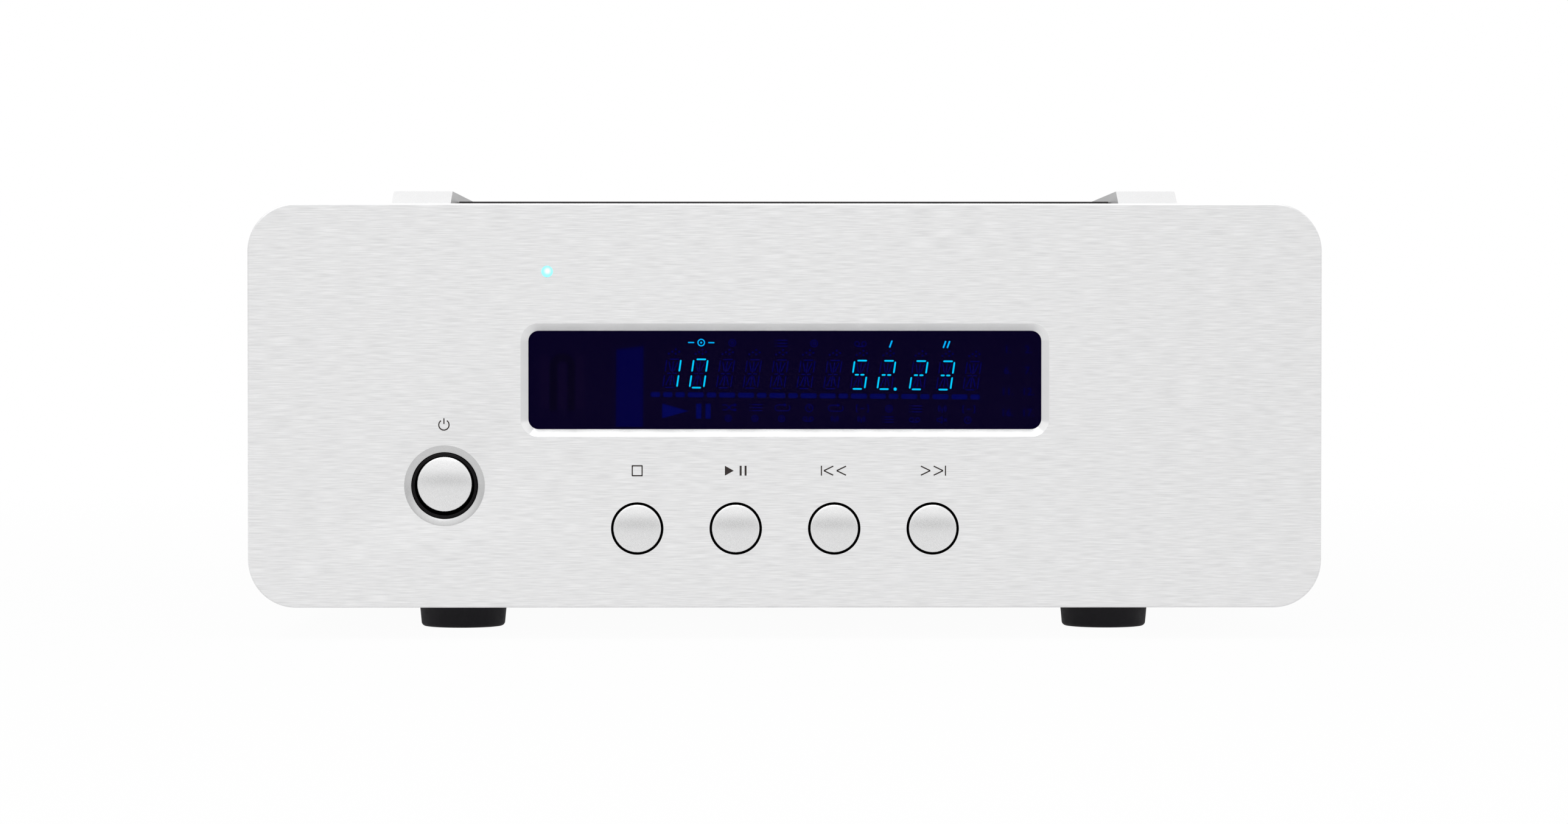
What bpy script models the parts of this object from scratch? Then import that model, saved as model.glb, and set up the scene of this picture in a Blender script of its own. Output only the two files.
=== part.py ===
"""Half-width compact disc player that loads from above, modelled piece by piece.

Metres, +Z up. The front faces -Y and X runs along the width. The origin is on the surface that the
player stands on, under the middle of its box. Depths are measured back from the panel's front face.
"""
import math

import bmesh
import bpy

# Overall
PANEL_WIDTH = 0.218
PANEL_HEIGHT = 0.082
PANEL_THICK = 0.008
PANEL_CORNER = 0.0097
PANEL_EDGE = 0.0003
CASE_DEPTH = 0.335          # panel's front face to the rear panel's outer face
CASE_SIDE_STEP = 0.003      # how far the case stands inside the panel's ends
CASE_TOP_STEP = 0.0019
CASE_BOTTOM_STEP = 0.002
SHEET = 0.0015              # steel of the cover, the tray and the rear panel
GAP = 0.0003                # between two pieces that meet
RUN_GAP = 0.0006            # round a piece that moves

# Feet
FOOT_DROP = 0.0065          # floor to the panel's bottom edge
FOOT_RADIUS = 0.0095
FOOT_TAPER = 0.0006
FOOT_ROUND = 0.0008
FOOT_X = 0.0683
FOOT_INSET = 0.045          # foot centre from the front face and from the rear
FOOT_SCREW_RADIUS = 0.0016
FOOT_SCREW_HEAD = 0.0034
FOOT_SCREW_TOP = 0.014

# Lid and rails
RAIL_INNER = 0.0685
RAIL_WIDTH = 0.0121
RAIL_RISE = 0.003           # rail top above the panel's top
RAIL_FRONT = 0.010
RAIL_RAMP = 0.0063
RAIL_NOSE = 0.0018          # height of the upright face under the ramp
RAIL_REAR_STEP = 0.008      # rail's end ahead of the rear panel's outer face
LID_FRONT = 0.032
LID_LENGTH = 0.140
LID_THICK = 0.003
LID_TONGUE = 0.0014
LID_TONGUE_REACH = 0.002
GROOVE_CLEAR = 0.0004
LID_GRIP = (0.044, 0.006, 0.0008)

# Disc well
WELL_DEPTH_BACK = 0.102     # well centre behind the front face
WELL_RADIUS = 0.0625
WELL_WALL = 0.002
WELL_SINK = 0.0101          # well floor below the case top
WELL_FLOOR = 0.002
WELL_RIM = 0.007
SMALL_DISC_RADIUS = 0.041
SMALL_DISC_STEP = 0.0007
HUB_HOLE = 0.0185
PICKUP_SLOT = 0.018

# Turntable and puck
PLATTER_RADIUS = 0.0165
PLATTER_THICK = 0.0018
PLATTER_LIFT = 0.0004       # platter's underside above the well floor
NOSE_RADIUS = 0.0073
NOSE_RISE = 0.0018
NECK_RADIUS = 0.005
SHAFT_RADIUS = 0.001
PUCK_RADIUS = 0.017
PUCK_HEIGHT = 0.0066
PUCK_GRIP_RADIUS = 0.0115

# Mechanism
FRAME_DROP = 0.0105         # frame's top below the deck's underside
FRAME_THICK = 0.002
FRAME_HALF_WIDTH = 0.052
FRAME_FRONT = 0.072         # frame's front edge ahead of the well centre
FRAME_REAR = 0.036
FRAME_SLOT = (0.034, 0.044)
ISOLATOR_X = 0.042
ISOLATOR_FRONT = 0.046
ISOLATOR_REAR = 0.028
ISOLATOR_RADIUS = 0.005
ROD_X = 0.024
ROD_RADIUS = 0.0015
ROD_LIFT = 0.005            # rod centre above the frame
PILLAR = (0.007, 0.005, 0.008)
LENS_INNER = 0.024          # lens from the spindle with the sled right in
LENS_TRAVEL = 0.032
SLED_HALF_WIDTH = 0.0283
SLED_LENGTH = 0.016
SLED_LIFT = 0.0023
SLED_THICK = 0.0054
SLED_BLOCK = (0.024, 0.014, 0.008)
LENS_SIZE = 0.010
RACK_OVERRUN = 0.004
SPINDLE_MOTOR = (0.014, 0.010)
SLED_MOTOR = (0.008, 0.014)
MOTOR_BOSS = 0.003

# Gear train
MODULE = 0.0008
RACK_PITCH_X = 0.032
RACK_HEIGHT = 0.0027
DRIVE_TEETH = 20
PINION_TEETH = 8
MESH_CLEAR = 0.00015        # added to each centre distance
TOOTH_SHARE = 0.36          # tooth thickness as a share of the pitch
GEAR_Y_AHEAD = 0.030        # drive gear's axis ahead of the well centre
GEAR_HEIGHT = 0.0047

# Display window, set in the front panel
WINDOW_WIDTH = 0.1043
WINDOW_HEIGHT = 0.020
WINDOW_CORNER = 0.0021
WINDOW_BEVEL = 0.0015
WINDOW_LEDGE = 0.0037       # opening's depth ahead of the window
WINDOW_OVERLAP = 0.002
WINDOW_THICK = 0.002
WINDOW_UP = 0.0462          # centre above the panel's bottom edge
TUBE_SIZE = (0.100, 0.0095, 0.022)
LAMP_X = -0.04825
LAMP_UP = 0.0682
LAMP_RADIUS = 0.0011

# Buttons
KEYS = {"stop_button": -0.030, "play_button": -0.010, "previous_button": 0.010, "next_button": 0.030}
KEY_UP = 0.01607
KEY_RADIUS = 0.00487
KEY_CLEAR = 0.0004
KEY_FLANGE = 0.0016         # flange beyond the hole's radius
KEY_TRAVEL = 0.0008
KEY_POCKET = 0.0055         # depth at which the panel's holes widen for the flanges
FLANGE_THICK = 0.001
BUTTON_PROUD = 0.001        # crown ahead of the panel's face
CROWN = 0.0007
POWER_X = -0.0691
POWER_UP = 0.02476
POWER_RADIUS = 0.00562
POWER_TRAVEL = 0.0025
POWER_OVERTRAVEL = 0.0005
POWER_STEM_END = 0.0140
COLLAR_INNER = 0.0060
COLLAR_OUTER = 0.00649
DISH_RADIUS = 0.00819
DISH_DEPTH = 0.0007
STEM_RADIUS = 0.0015
STEM_END = 0.0120           # depth of the stems' ends
SWITCH_SIZE = 0.006
BOARD_FRONT = 0.0169
BOARD_THICK = 0.0016
BOARD_MARGIN = 0.004
POWER_SWITCH = (0.013, 0.020, 0.013)

# Rear
INLET_X = -0.072
INLET_UP = 0.040
INLET_BODY = (0.027, 0.020)
INLET_PLATE = (0.031, 0.0245, 0.002)
INLET_SOCKET = (0.0245, 0.0165)
INLET_SOCKET_DEPTH = 0.017
INLET_PIN = (0.002, 0.012, 0.004)
JACK_REACH = 0.010
JACK_COLUMN_X = 0.062
DIGITAL_COLUMN_X = 0.030
JACK_ROWS = (0.055, 0.033)  # above the panel's bottom edge
JACK_BARREL = 0.0042
JACK_NECK = 0.005
OPTICAL_SIZE = 0.0100
OPTICAL_SOCKET = (0.0064, 0.007)

# Electronics
STANDOFF = 0.0077
STANDOFF_RADIUS = 0.003
MAIN_BOARD = (0.113, 0.140)
MAIN_BOARD_REAR_STEP = 0.0095
CORE_RADIUS = 0.033
CORE_HOLE = 0.009
CORE_HEIGHT = 0.030
CORE_X = -0.060
CORE_AHEAD = 0.100          # transformer's axis ahead of the rear face
CAPACITOR = (0.009, 0.028)

BOLT_RADIUS = 0.0025

# Case details
FLANGE_HEIGHT = 0.013
BOARD_POST_X = 0.088
FOOT_RECESS = 0.004
SCREW_HEAD_THICK = 0.002
COVER_SCREW_RADIUS = 0.0015
COVER_SCREW_HEAD = (0.003, 0.0015)
COVER_SCREW_INSET = 0.060
COVER_SCREW_UP = 0.009      # above the case bottom
VENT_SLOT = (0.003, 0.036)
VENT_COLUMNS = 11
VENT_PITCH = 0.010
VENT_REAR = 0.030
VENT_GAP = 0.012

# Worked out from the sizes above
FACE_Y = -(CASE_DEPTH + JACK_REACH - BUTTON_PROUD) / 2
REAR_Y = FACE_Y + CASE_DEPTH
PANEL_BACK_Y = FACE_Y + PANEL_THICK
WELL_Y = FACE_Y + WELL_DEPTH_BACK
PANEL_BOTTOM = FOOT_DROP
PANEL_TOP = PANEL_BOTTOM + PANEL_HEIGHT
PANEL_MID = (PANEL_BOTTOM + PANEL_TOP) / 2
CASE_BOTTOM = PANEL_BOTTOM + CASE_BOTTOM_STEP
CASE_TOP = PANEL_TOP - CASE_TOP_STEP
CASE_HALF = PANEL_WIDTH / 2 - CASE_SIDE_STEP
TRAY_HALF = CASE_HALF - SHEET - GAP
TRAY_TOP = CASE_BOTTOM + SHEET
TRAY_FRONT_Y = PANEL_BACK_Y + GAP
COVER_UNDER = CASE_TOP - SHEET
RAIL_BOTTOM = CASE_TOP + GAP
RAIL_TOP = PANEL_TOP + RAIL_RISE
RAIL_OUTER = RAIL_INNER + RAIL_WIDTH
LID_BOTTOM = CASE_TOP + GAP
LID_Y = FACE_Y + LID_FRONT
WELL_FLOOR_TOP = CASE_TOP - WELL_SINK
DECK_BOTTOM = WELL_FLOOR_TOP - WELL_FLOOR
FRAME_TOP = DECK_BOTTOM - FRAME_DROP
FRAME_BOTTOM = FRAME_TOP - FRAME_THICK
ROD_Z = FRAME_TOP + ROD_LIFT
PLATTER_BOTTOM = WELL_FLOOR_TOP + PLATTER_LIFT
PLATTER_TOP = PLATTER_BOTTOM + PLATTER_THICK
PITCH = math.pi * MODULE
DRIVE_RADIUS = MODULE * DRIVE_TEETH / 2
PINION_RADIUS = MODULE * PINION_TEETH / 2
DRIVE_X = RACK_PITCH_X + DRIVE_RADIUS + MESH_CLEAR
DRIVE_Y = WELL_Y - GEAR_Y_AHEAD
PINION_Y = DRIVE_Y + DRIVE_RADIUS + PINION_RADIUS + MESH_CLEAR
GEAR_BOTTOM = FRAME_TOP + GAP
LENS_Y = WELL_Y - LENS_INNER
WINDOW_Z = PANEL_BOTTOM + WINDOW_UP
LAMP_Z = PANEL_BOTTOM + LAMP_UP
KEY_Z = PANEL_BOTTOM + KEY_UP
POWER_Z = PANEL_BOTTOM + POWER_UP
BOARD_Y = FACE_Y + BOARD_FRONT
COVER_SCREW_Z = CASE_BOTTOM + COVER_SCREW_UP
FOOT_YS = (FACE_Y + FOOT_INSET, REAR_Y - FOOT_INSET)

# Finishes: colour, roughness, metallic
FINISHES = {
    "brushed_aluminium": ((0.74, 0.75, 0.76), 0.35, 1.0),
    "painted_steel": ((0.60, 0.61, 0.62), 0.50, 0.3),
    "plated_steel": ((0.55, 0.56, 0.56), 0.35, 1.0),
    "bright_screw": ((0.50, 0.50, 0.51), 0.30, 1.0),
    "smoked_acrylic": ((0.02, 0.016, 0.02), 0.08, 0.0),
    "lamp_lens": ((0.60, 0.90, 1.00), 0.25, 0.0),
    "black_plastic": ((0.03, 0.03, 0.035), 0.45, 0.0),
    "black_rubber": ((0.02, 0.02, 0.022), 0.75, 0.0),
    "circuit_board": ((0.05, 0.22, 0.10), 0.50, 0.0),
    "tube_glass": ((0.03, 0.03, 0.12), 0.10, 0.0),
    "grey_plastic": ((0.35, 0.35, 0.37), 0.50, 0.0),
    "white_plastic": ((0.80, 0.80, 0.78), 0.45, 0.0),
    "gold_plate": ((0.80, 0.62, 0.28), 0.25, 1.0),
    "core_wrap": ((0.55, 0.40, 0.10), 0.55, 0.0),
}
AXIS_ORDER = {
    "X": lambda u, v, along: (along, u, v),
    "Y": lambda u, v, along: (u, along, v),
    "Z": lambda u, v, along: (u, v, along),
}


def empty_scene():
    """Start from nothing."""
    for old in list(bpy.data.objects):
        bpy.data.objects.remove(old, do_unlink=True)


def finish(name):
    """The Principled material of one finish, made once."""
    known = bpy.data.materials.get(name)
    if known:
        return known
    color, roughness, metallic = FINISHES[name]
    material = bpy.data.materials.new(name)
    material.use_nodes = True
    shader = material.node_tree.nodes["Principled BSDF"]
    shader.inputs["Base Color"].default_value = (*color, 1.0)
    shader.inputs["Roughness"].default_value = roughness
    shader.inputs["Metallic"].default_value = metallic
    return material


def solid(name, mesh, centre, look):
    """Turn a bmesh into a named object whose origin is at centre."""
    bmesh.ops.recalc_face_normals(mesh, faces=mesh.faces)
    data = bpy.data.meshes.new(name)
    mesh.to_mesh(data)
    mesh.free()
    data.materials.append(finish(look))
    data.shade_smooth()
    data.set_sharp_from_angle(angle=math.radians(35))
    piece = bpy.data.objects.new(name, data)
    piece.location = centre
    bpy.context.scene.collection.objects.link(piece)
    return piece


def rounded(width, height, corner=0.0, steps=5):
    """Outline of a rectangle about (0, 0), with arcs for corners."""
    if corner == 0.0:
        return [(width / 2, height / 2), (-width / 2, height / 2),
                (-width / 2, -height / 2), (width / 2, -height / 2)]
    points = []
    for turn, (side, up) in enumerate(((1, 1), (-1, 1), (-1, -1), (1, -1))):
        for step in range(steps + 1):
            angle = (turn + step / steps) * math.pi / 2
            points.append((side * (width / 2 - corner) + corner * math.cos(angle),
                           up * (height / 2 - corner) + corner * math.sin(angle)))
    return points


def disc(radius, steps=32):
    """Outline of a circle about (0, 0)."""
    return [(radius * math.cos(math.tau * step / steps), radius * math.sin(math.tau * step / steps))
            for step in range(steps)]


def loft(name, sections, centre=(0, 0, 0), axis="Z", look="grey_plastic"):
    """A closed solid through outlines of equal point count: pairs of (place along axis, outline)."""
    mesh = bmesh.new()
    place = AXIS_ORDER[axis]
    rings = [[mesh.verts.new(place(u, v, along)) for u, v in outline] for along, outline in sections]
    for near, far in zip(rings, rings[1:]):
        for index in range(len(near)):
            after = (index + 1) % len(near)
            mesh.faces.new((near[index], near[after], far[after], far[index]))
    mesh.faces.new(rings[0])
    mesh.faces.new(rings[-1])
    return solid(name, mesh, centre, look)


def bar(name, low, high, look="grey_plastic"):
    """A plain block between two opposite corners."""
    middle = [(a + b) / 2 for a, b in zip(low, high)]
    half = [(b - a) / 2 for a, b in zip(low, high)]
    outline = rounded(2 * half[0], 2 * half[1])
    return loft(name, [(-half[2], outline), (half[2], outline)], middle, "Z", look)


def rod(name, radius, start, end, across, axis="Z", look="grey_plastic", steps=16):
    """A plain round bar along an axis, from start to end, at the two coordinates across."""
    centre = AXIS_ORDER[axis](across[0], across[1], (start + end) / 2)
    half = (end - start) / 2
    return loft(name, [(-half, disc(radius, steps)), (half, disc(radius, steps))], centre, axis, look)


def turned(name, profile, centre, axis="Z", look="grey_plastic", steps=20, loop=False):
    """A turned solid. The profile is pairs of (radius, place along axis); a loop leaves a bore."""
    mesh = bmesh.new()
    place = AXIS_ORDER[axis]
    rings = []
    for radius, along in profile:
        if radius == 0:
            rings.append([mesh.verts.new(place(0, 0, along))])
        else:
            rings.append([mesh.verts.new(place(u, v, along)) for u, v in disc(radius, steps)])
    pairs = list(zip(rings, rings[1:]))
    if loop:
        pairs.append((rings[-1], rings[0]))
    for near, far in pairs:
        for index in range(steps):
            after = (index + 1) % steps
            corners = [near[index % len(near)], near[after % len(near)],
                       far[after % len(far)], far[index % len(far)]]
            mesh.faces.new(list(dict.fromkeys(corners)))
    return solid(name, mesh, centre, look)


def gear(name, teeth, centre, height, phase, look, bore=0.0, shaft_end=None):
    """A spur gear standing on centre; phase is the angle of one tooth's middle."""
    radius = MODULE * teeth / 2
    root, tip = radius - 1.25 * MODULE, radius + 0.85 * MODULE
    step = math.tau / teeth
    outline = []
    for tooth in range(teeth):
        middle = phase + tooth * step
        for distance, half_share in ((root, 0.62), (radius, 0.5), (tip, 0.24),
                                     (tip, -0.24), (radius, -0.5), (root, -0.62)):
            half = -half_share * TOOTH_SHARE * step
            outline.append((distance * math.cos(middle + half), distance * math.sin(middle + half)))
    wheel = loft(name, [(0, outline), (height, outline)], centre, "Z", look)
    if bore:
        cut(wheel, rod(name + "_bore", bore, centre[2] - height, centre[2] + 2 * height, centre[:2]))
    if shaft_end:
        join(wheel, rod(name + "_shaft", SHAFT_RADIUS, shaft_end, centre[2] + height / 2, centre[:2]))
    return wheel


def combine(body, tools, operation):
    """Leave the tools as hidden wire guides of a Boolean on body."""
    for tool in tools:
        tool.hide_render = True
        tool.display_type = "WIRE"
        modifier = body.modifiers.new(operation.lower(), "BOOLEAN")
        modifier.operation = operation
        modifier.object = tool


def cut(body, *tools):
    """Cut the tools out of body."""
    combine(body, tools, "DIFFERENCE")


def join(body, *tools):
    """Make the tools part of body."""
    combine(body, tools, "UNION")


def front_panel():
    """Thick aluminium panel with the window, the key holes and the power button's dish."""
    outer = rounded(PANEL_WIDTH, PANEL_HEIGHT, PANEL_CORNER, 8)
    rim = rounded(PANEL_WIDTH - 2 * PANEL_EDGE, PANEL_HEIGHT - 2 * PANEL_EDGE, PANEL_CORNER - PANEL_EDGE, 8)
    panel = loft("front_panel", [(0, rim), (PANEL_EDGE, outer), (PANEL_THICK, outer)],
                 (0, FACE_Y, PANEL_MID), "Y", "brushed_aluminium")
    wide = 2 * WINDOW_BEVEL
    opening = rounded(WINDOW_WIDTH, WINDOW_HEIGHT, WINDOW_CORNER)
    bevel = rounded(WINDOW_WIDTH + 2 * wide, WINDOW_HEIGHT + 2 * wide, WINDOW_CORNER + wide)
    seat = rounded(WINDOW_WIDTH + 2 * (WINDOW_OVERLAP + GAP), WINDOW_HEIGHT + 2 * (WINDOW_OVERLAP + GAP),
                   WINDOW_CORNER)
    place = (0, FACE_Y, WINDOW_Z)
    tools = [loft("window_cut", [(-WINDOW_BEVEL, bevel), (WINDOW_BEVEL, opening), (WINDOW_LEDGE, opening),
                                 (WINDOW_LEDGE, seat), (2 * PANEL_THICK, seat)], place, "Y")]
    hole = KEY_RADIUS + KEY_CLEAR
    for name, x in KEYS.items():
        profile = [(0, -PANEL_THICK), (hole, -PANEL_THICK), (hole, KEY_POCKET),
                   (hole + KEY_FLANGE + RUN_GAP, KEY_POCKET), (hole + KEY_FLANGE + RUN_GAP, 2 * PANEL_THICK),
                   (0, 2 * PANEL_THICK)]
        tools.append(turned(name + "_hole", profile, (x, FACE_Y, KEY_Z), "Y"))
    slope = [(DISH_RADIUS + DISH_DEPTH, -DISH_DEPTH), (DISH_RADIUS, 0)]
    slope += [(DISH_RADIUS - (DISH_RADIUS - COLLAR_OUTER) * part,
               DISH_DEPTH * math.sin(part * math.pi / 2)) for part in (0.5,)]
    neck = COLLAR_OUTER + GAP
    flange = neck + KEY_FLANGE
    profile = [(0, -DISH_DEPTH), *slope, (neck, DISH_DEPTH), (neck, KEY_POCKET), (flange + GAP, KEY_POCKET),
               (flange + GAP, 2 * PANEL_THICK), (0, 2 * PANEL_THICK)]
    tools.append(turned("power_dish", profile, (POWER_X, FACE_Y, POWER_Z), "Y", steps=28))
    tools.append(rod("lamp_hole", LAMP_RADIUS + GAP, FACE_Y - PANEL_THICK, FACE_Y + 2 * PANEL_THICK,
                     (LAMP_X, LAMP_Z), "Y"))
    cut(panel, *tools)


def display_window():
    """Smoked window against its ledge, and the fluorescent display tube behind it."""
    sheet = rounded(WINDOW_WIDTH + 2 * WINDOW_OVERLAP, WINDOW_HEIGHT + 2 * WINDOW_OVERLAP, WINDOW_CORNER)
    front = WINDOW_LEDGE + GAP
    loft("display_window", [(front, sheet), (front + WINDOW_THICK, sheet)], (0, FACE_Y, WINDOW_Z), "Y",
         "smoked_acrylic")
    width, depth, height = TUBE_SIZE
    back = BOARD_FRONT - GAP
    bar("display_tube", (-width / 2, FACE_Y + back - depth, WINDOW_Z - height / 2),
        (width / 2, FACE_Y + back, WINDOW_Z + height / 2), "tube_glass")


def power_lamp():
    """Domed light pipe from the control board to the panel's face."""
    profile = [(0, -0.4 * LAMP_RADIUS), (0.6 * LAMP_RADIUS, -0.3 * LAMP_RADIUS), (LAMP_RADIUS, 0),
               (LAMP_RADIUS, BOARD_FRONT - GAP), (0, BOARD_FRONT - GAP)]
    turned("lamp_lens", profile, (LAMP_X, FACE_Y, LAMP_Z), "Y", "lamp_lens", 20)


def crown_profile(radius):
    """Domed front of a button, from its middle to its edge: a shallow arc with a rounded rim."""
    edge = CROWN * 0.5
    top = -BUTTON_PROUD
    arc = [(radius * part, top + (CROWN - edge) * part ** 2) for part in (0, 0.5, 0.88)]
    return arc + [(radius - edge * 0.3, top + CROWN * 0.75), (radius, top + 2 * CROWN)]


def keys():
    """Four small keys, each with a retaining flange and a stem."""
    flange = KEY_RADIUS + KEY_CLEAR + KEY_FLANGE
    front = KEY_POCKET + GAP
    for name, x in KEYS.items():
        profile = crown_profile(KEY_RADIUS) + [
            (KEY_RADIUS, front), (flange, front), (flange, front + FLANGE_THICK),
            (STEM_RADIUS, front + FLANGE_THICK), (STEM_RADIUS, STEM_END), (0, STEM_END)]
        turned(name, profile, (x, FACE_Y, KEY_Z), "Y", "brushed_aluminium")


def power_button():
    """Latching power button in its black collar, and the mains switch behind it."""
    neck = COLLAR_OUTER + KEY_FLANGE
    start, front, end = DISH_DEPTH / 2, KEY_POCKET + GAP, PANEL_THICK - GAP
    ring = [(COLLAR_INNER, start), (COLLAR_OUTER, start), (COLLAR_OUTER, front), (neck, front), (neck, end),
            (COLLAR_INNER, end)]
    turned("power_collar", ring, (POWER_X, FACE_Y, POWER_Z), "Y", "black_plastic", loop=True)
    flange = POWER_RADIUS + KEY_FLANGE - 2 * GAP
    front = end + POWER_TRAVEL + GAP
    profile = crown_profile(POWER_RADIUS) + [
        (POWER_RADIUS, front), (flange, front), (flange, front + FLANGE_THICK),
        (STEM_RADIUS, front + FLANGE_THICK), (STEM_RADIUS, POWER_STEM_END), (0, POWER_STEM_END)]
    turned("power_button", profile, (POWER_X, FACE_Y, POWER_Z), "Y", "brushed_aluminium")
    width, depth, height = POWER_SWITCH
    front = FACE_Y + POWER_STEM_END + POWER_OVERTRAVEL + GAP
    bar("mains_switch", (POWER_X - width / 2, front, POWER_Z - height / 2),
        (POWER_X + width / 2, front + depth, POWER_Z + height / 2), "black_plastic")


def control_board():
    """Board behind the panel, with a soldered switch behind each key and a cut-out for the mains switch."""
    low = TRAY_TOP + BOARD_MARGIN
    high = COVER_UNDER - BOARD_MARGIN
    reach = TRAY_HALF - BOARD_MARGIN
    board = bar("control_board", (-reach, BOARD_Y, low), (reach, BOARD_Y + BOARD_THICK, high),
                "circuit_board")
    side = SWITCH_SIZE / 2
    front = FACE_Y + STEM_END + KEY_TRAVEL + GAP
    join(board, *[bar("key_switch", (x - side, front, KEY_Z - side),
                      (x + side, BOARD_Y + BOARD_THICK / 2, KEY_Z + side))
                  for x in KEYS.values()])
    width, depth, height = (size / 2 + GAP for size in POWER_SWITCH)
    cut(board, bar("mains_switch_cut", (POWER_X - width, BOARD_Y - depth, POWER_Z - height),
                   (POWER_X + width, BOARD_Y + depth, POWER_Z + height)))


def tray():
    """Chassis: floor, front wall, low side flanges and the posts that carry the boards."""
    wall_back = TRAY_FRONT_Y + SHEET
    floor_end = REAR_Y - SHEET - GAP
    body = bar("chassis_tray", (-TRAY_HALF, TRAY_FRONT_Y, CASE_BOTTOM), (TRAY_HALF, floor_end, TRAY_TOP),
               "plated_steel")
    wall = bar("tray_wall", (-TRAY_HALF, TRAY_FRONT_Y, CASE_BOTTOM),
               (TRAY_HALF, wall_back, COVER_UNDER - GAP))
    sides = [bar("tray_side", (side * TRAY_HALF - (SHEET if side > 0 else 0), TRAY_FRONT_Y, CASE_BOTTOM),
                 (side * TRAY_HALF + (SHEET if side < 0 else 0), floor_end, CASE_BOTTOM + FLANGE_HEIGHT))
             for side in (-1, 1)]
    posts = [rod("board_post", STANDOFF_RADIUS, wall_back - SHEET / 2, BOARD_Y - GAP,
                 (side * BOARD_POST_X, up), "Y",
                 steps=12)
             for side in (-1, 1) for up in (TRAY_TOP + 3 * BOARD_MARGIN, COVER_UNDER - 2 * BOARD_MARGIN)]
    for x, y in board_corners():
        posts.append(rod("main_post", STANDOFF_RADIUS, TRAY_TOP - SHEET / 2, TRAY_TOP + STANDOFF, (x, y),
                         steps=12))
    join(body, wall, *sides, *posts)
    width, _, height = (size / 2 + GAP for size in TUBE_SIZE)
    far = (TRAY_FRONT_Y - SHEET, wall_back + SHEET)
    tools = [bar("tube_cut", (-width, far[0], WINDOW_Z - height), (width, far[1], WINDOW_Z + height))]
    tools += [rod("stem_cut", 2 * STEM_RADIUS, *far, (x, KEY_Z), "Y") for x in KEYS.values()]
    tools.append(rod("lamp_cut", 2 * LAMP_RADIUS, *far, (LAMP_X, LAMP_Z), "Y"))
    tools.append(rod("power_cut", POWER_RADIUS + KEY_FLANGE + RUN_GAP, *far, (POWER_X, POWER_Z), "Y"))
    hole = FOOT_SCREW_RADIUS + GAP
    down = (CASE_BOTTOM - SHEET, TRAY_TOP + SHEET)
    tools += [rod("foot_cut", hole, *down, (side * FOOT_X, y), steps=12) for side in (-1, 1) for y in FOOT_YS]
    tools.append(rod("bolt_cut", BOLT_RADIUS + GAP, *down, (CORE_X, REAR_Y - CORE_AHEAD), steps=12))
    for side in (-1, 1):
        tools += [rod("side_cut", COVER_SCREW_RADIUS + GAP, side * TRAY_HALF - 2 * SHEET,
                      side * TRAY_HALF + 2 * SHEET, (y, COVER_SCREW_Z), "X",
                      steps=12) for y in cover_screw_ys()]
    cut(body, *tools)


def board_corners():
    """Where the main board stands on its posts."""
    width, length = MAIN_BOARD
    right = TRAY_HALF - BOARD_MARGIN - 2 * GAP
    rear = REAR_Y - MAIN_BOARD_REAR_STEP
    inset = STANDOFF_RADIUS + GAP
    return [(x, y) for x in (right - width + inset, right - inset) for y in (rear - length + inset,
                                                                             rear - inset)]


def cover_screw_ys():
    """The cover's side screws, along the case."""
    return FACE_Y + COVER_SCREW_INSET, REAR_Y - COVER_SCREW_INSET


def feet():
    """Four rubber feet with their screws from below."""
    top = CASE_BOTTOM - GAP
    base = FOOT_RADIUS - FOOT_TAPER
    well, shoulder = FOOT_SCREW_HEAD + 2 * GAP, FOOT_RECESS
    bore = FOOT_SCREW_RADIUS + GAP
    profile = [(well, 0), (base - FOOT_ROUND, 0), (base - 0.3 * FOOT_ROUND, 0.3 * FOOT_ROUND),
               (base, FOOT_ROUND),
               (FOOT_RADIUS, top - FOOT_ROUND), (FOOT_RADIUS - FOOT_ROUND / 2, top), (bore, top),
               (bore, shoulder), (well, shoulder)]
    head = shoulder - GAP
    screw = [(0, head - SCREW_HEAD_THICK), (FOOT_SCREW_HEAD, head - SCREW_HEAD_THICK),
             (FOOT_SCREW_HEAD, head),
             (FOOT_SCREW_RADIUS, head), (FOOT_SCREW_RADIUS, FOOT_SCREW_TOP), (0, FOOT_SCREW_TOP)]
    for side, hand in ((-1, "left"), (1, "right")):
        for end, y in zip(("front", "rear"), FOOT_YS):
            turned(f"{end}_{hand}_foot", profile, (side * FOOT_X, y, 0), "Z", "black_rubber", 20, loop=True)
            turned(f"{end}_{hand}_foot_screw", screw, (side * FOOT_X, y, 0), "Z", "bright_screw", 10)


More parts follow.
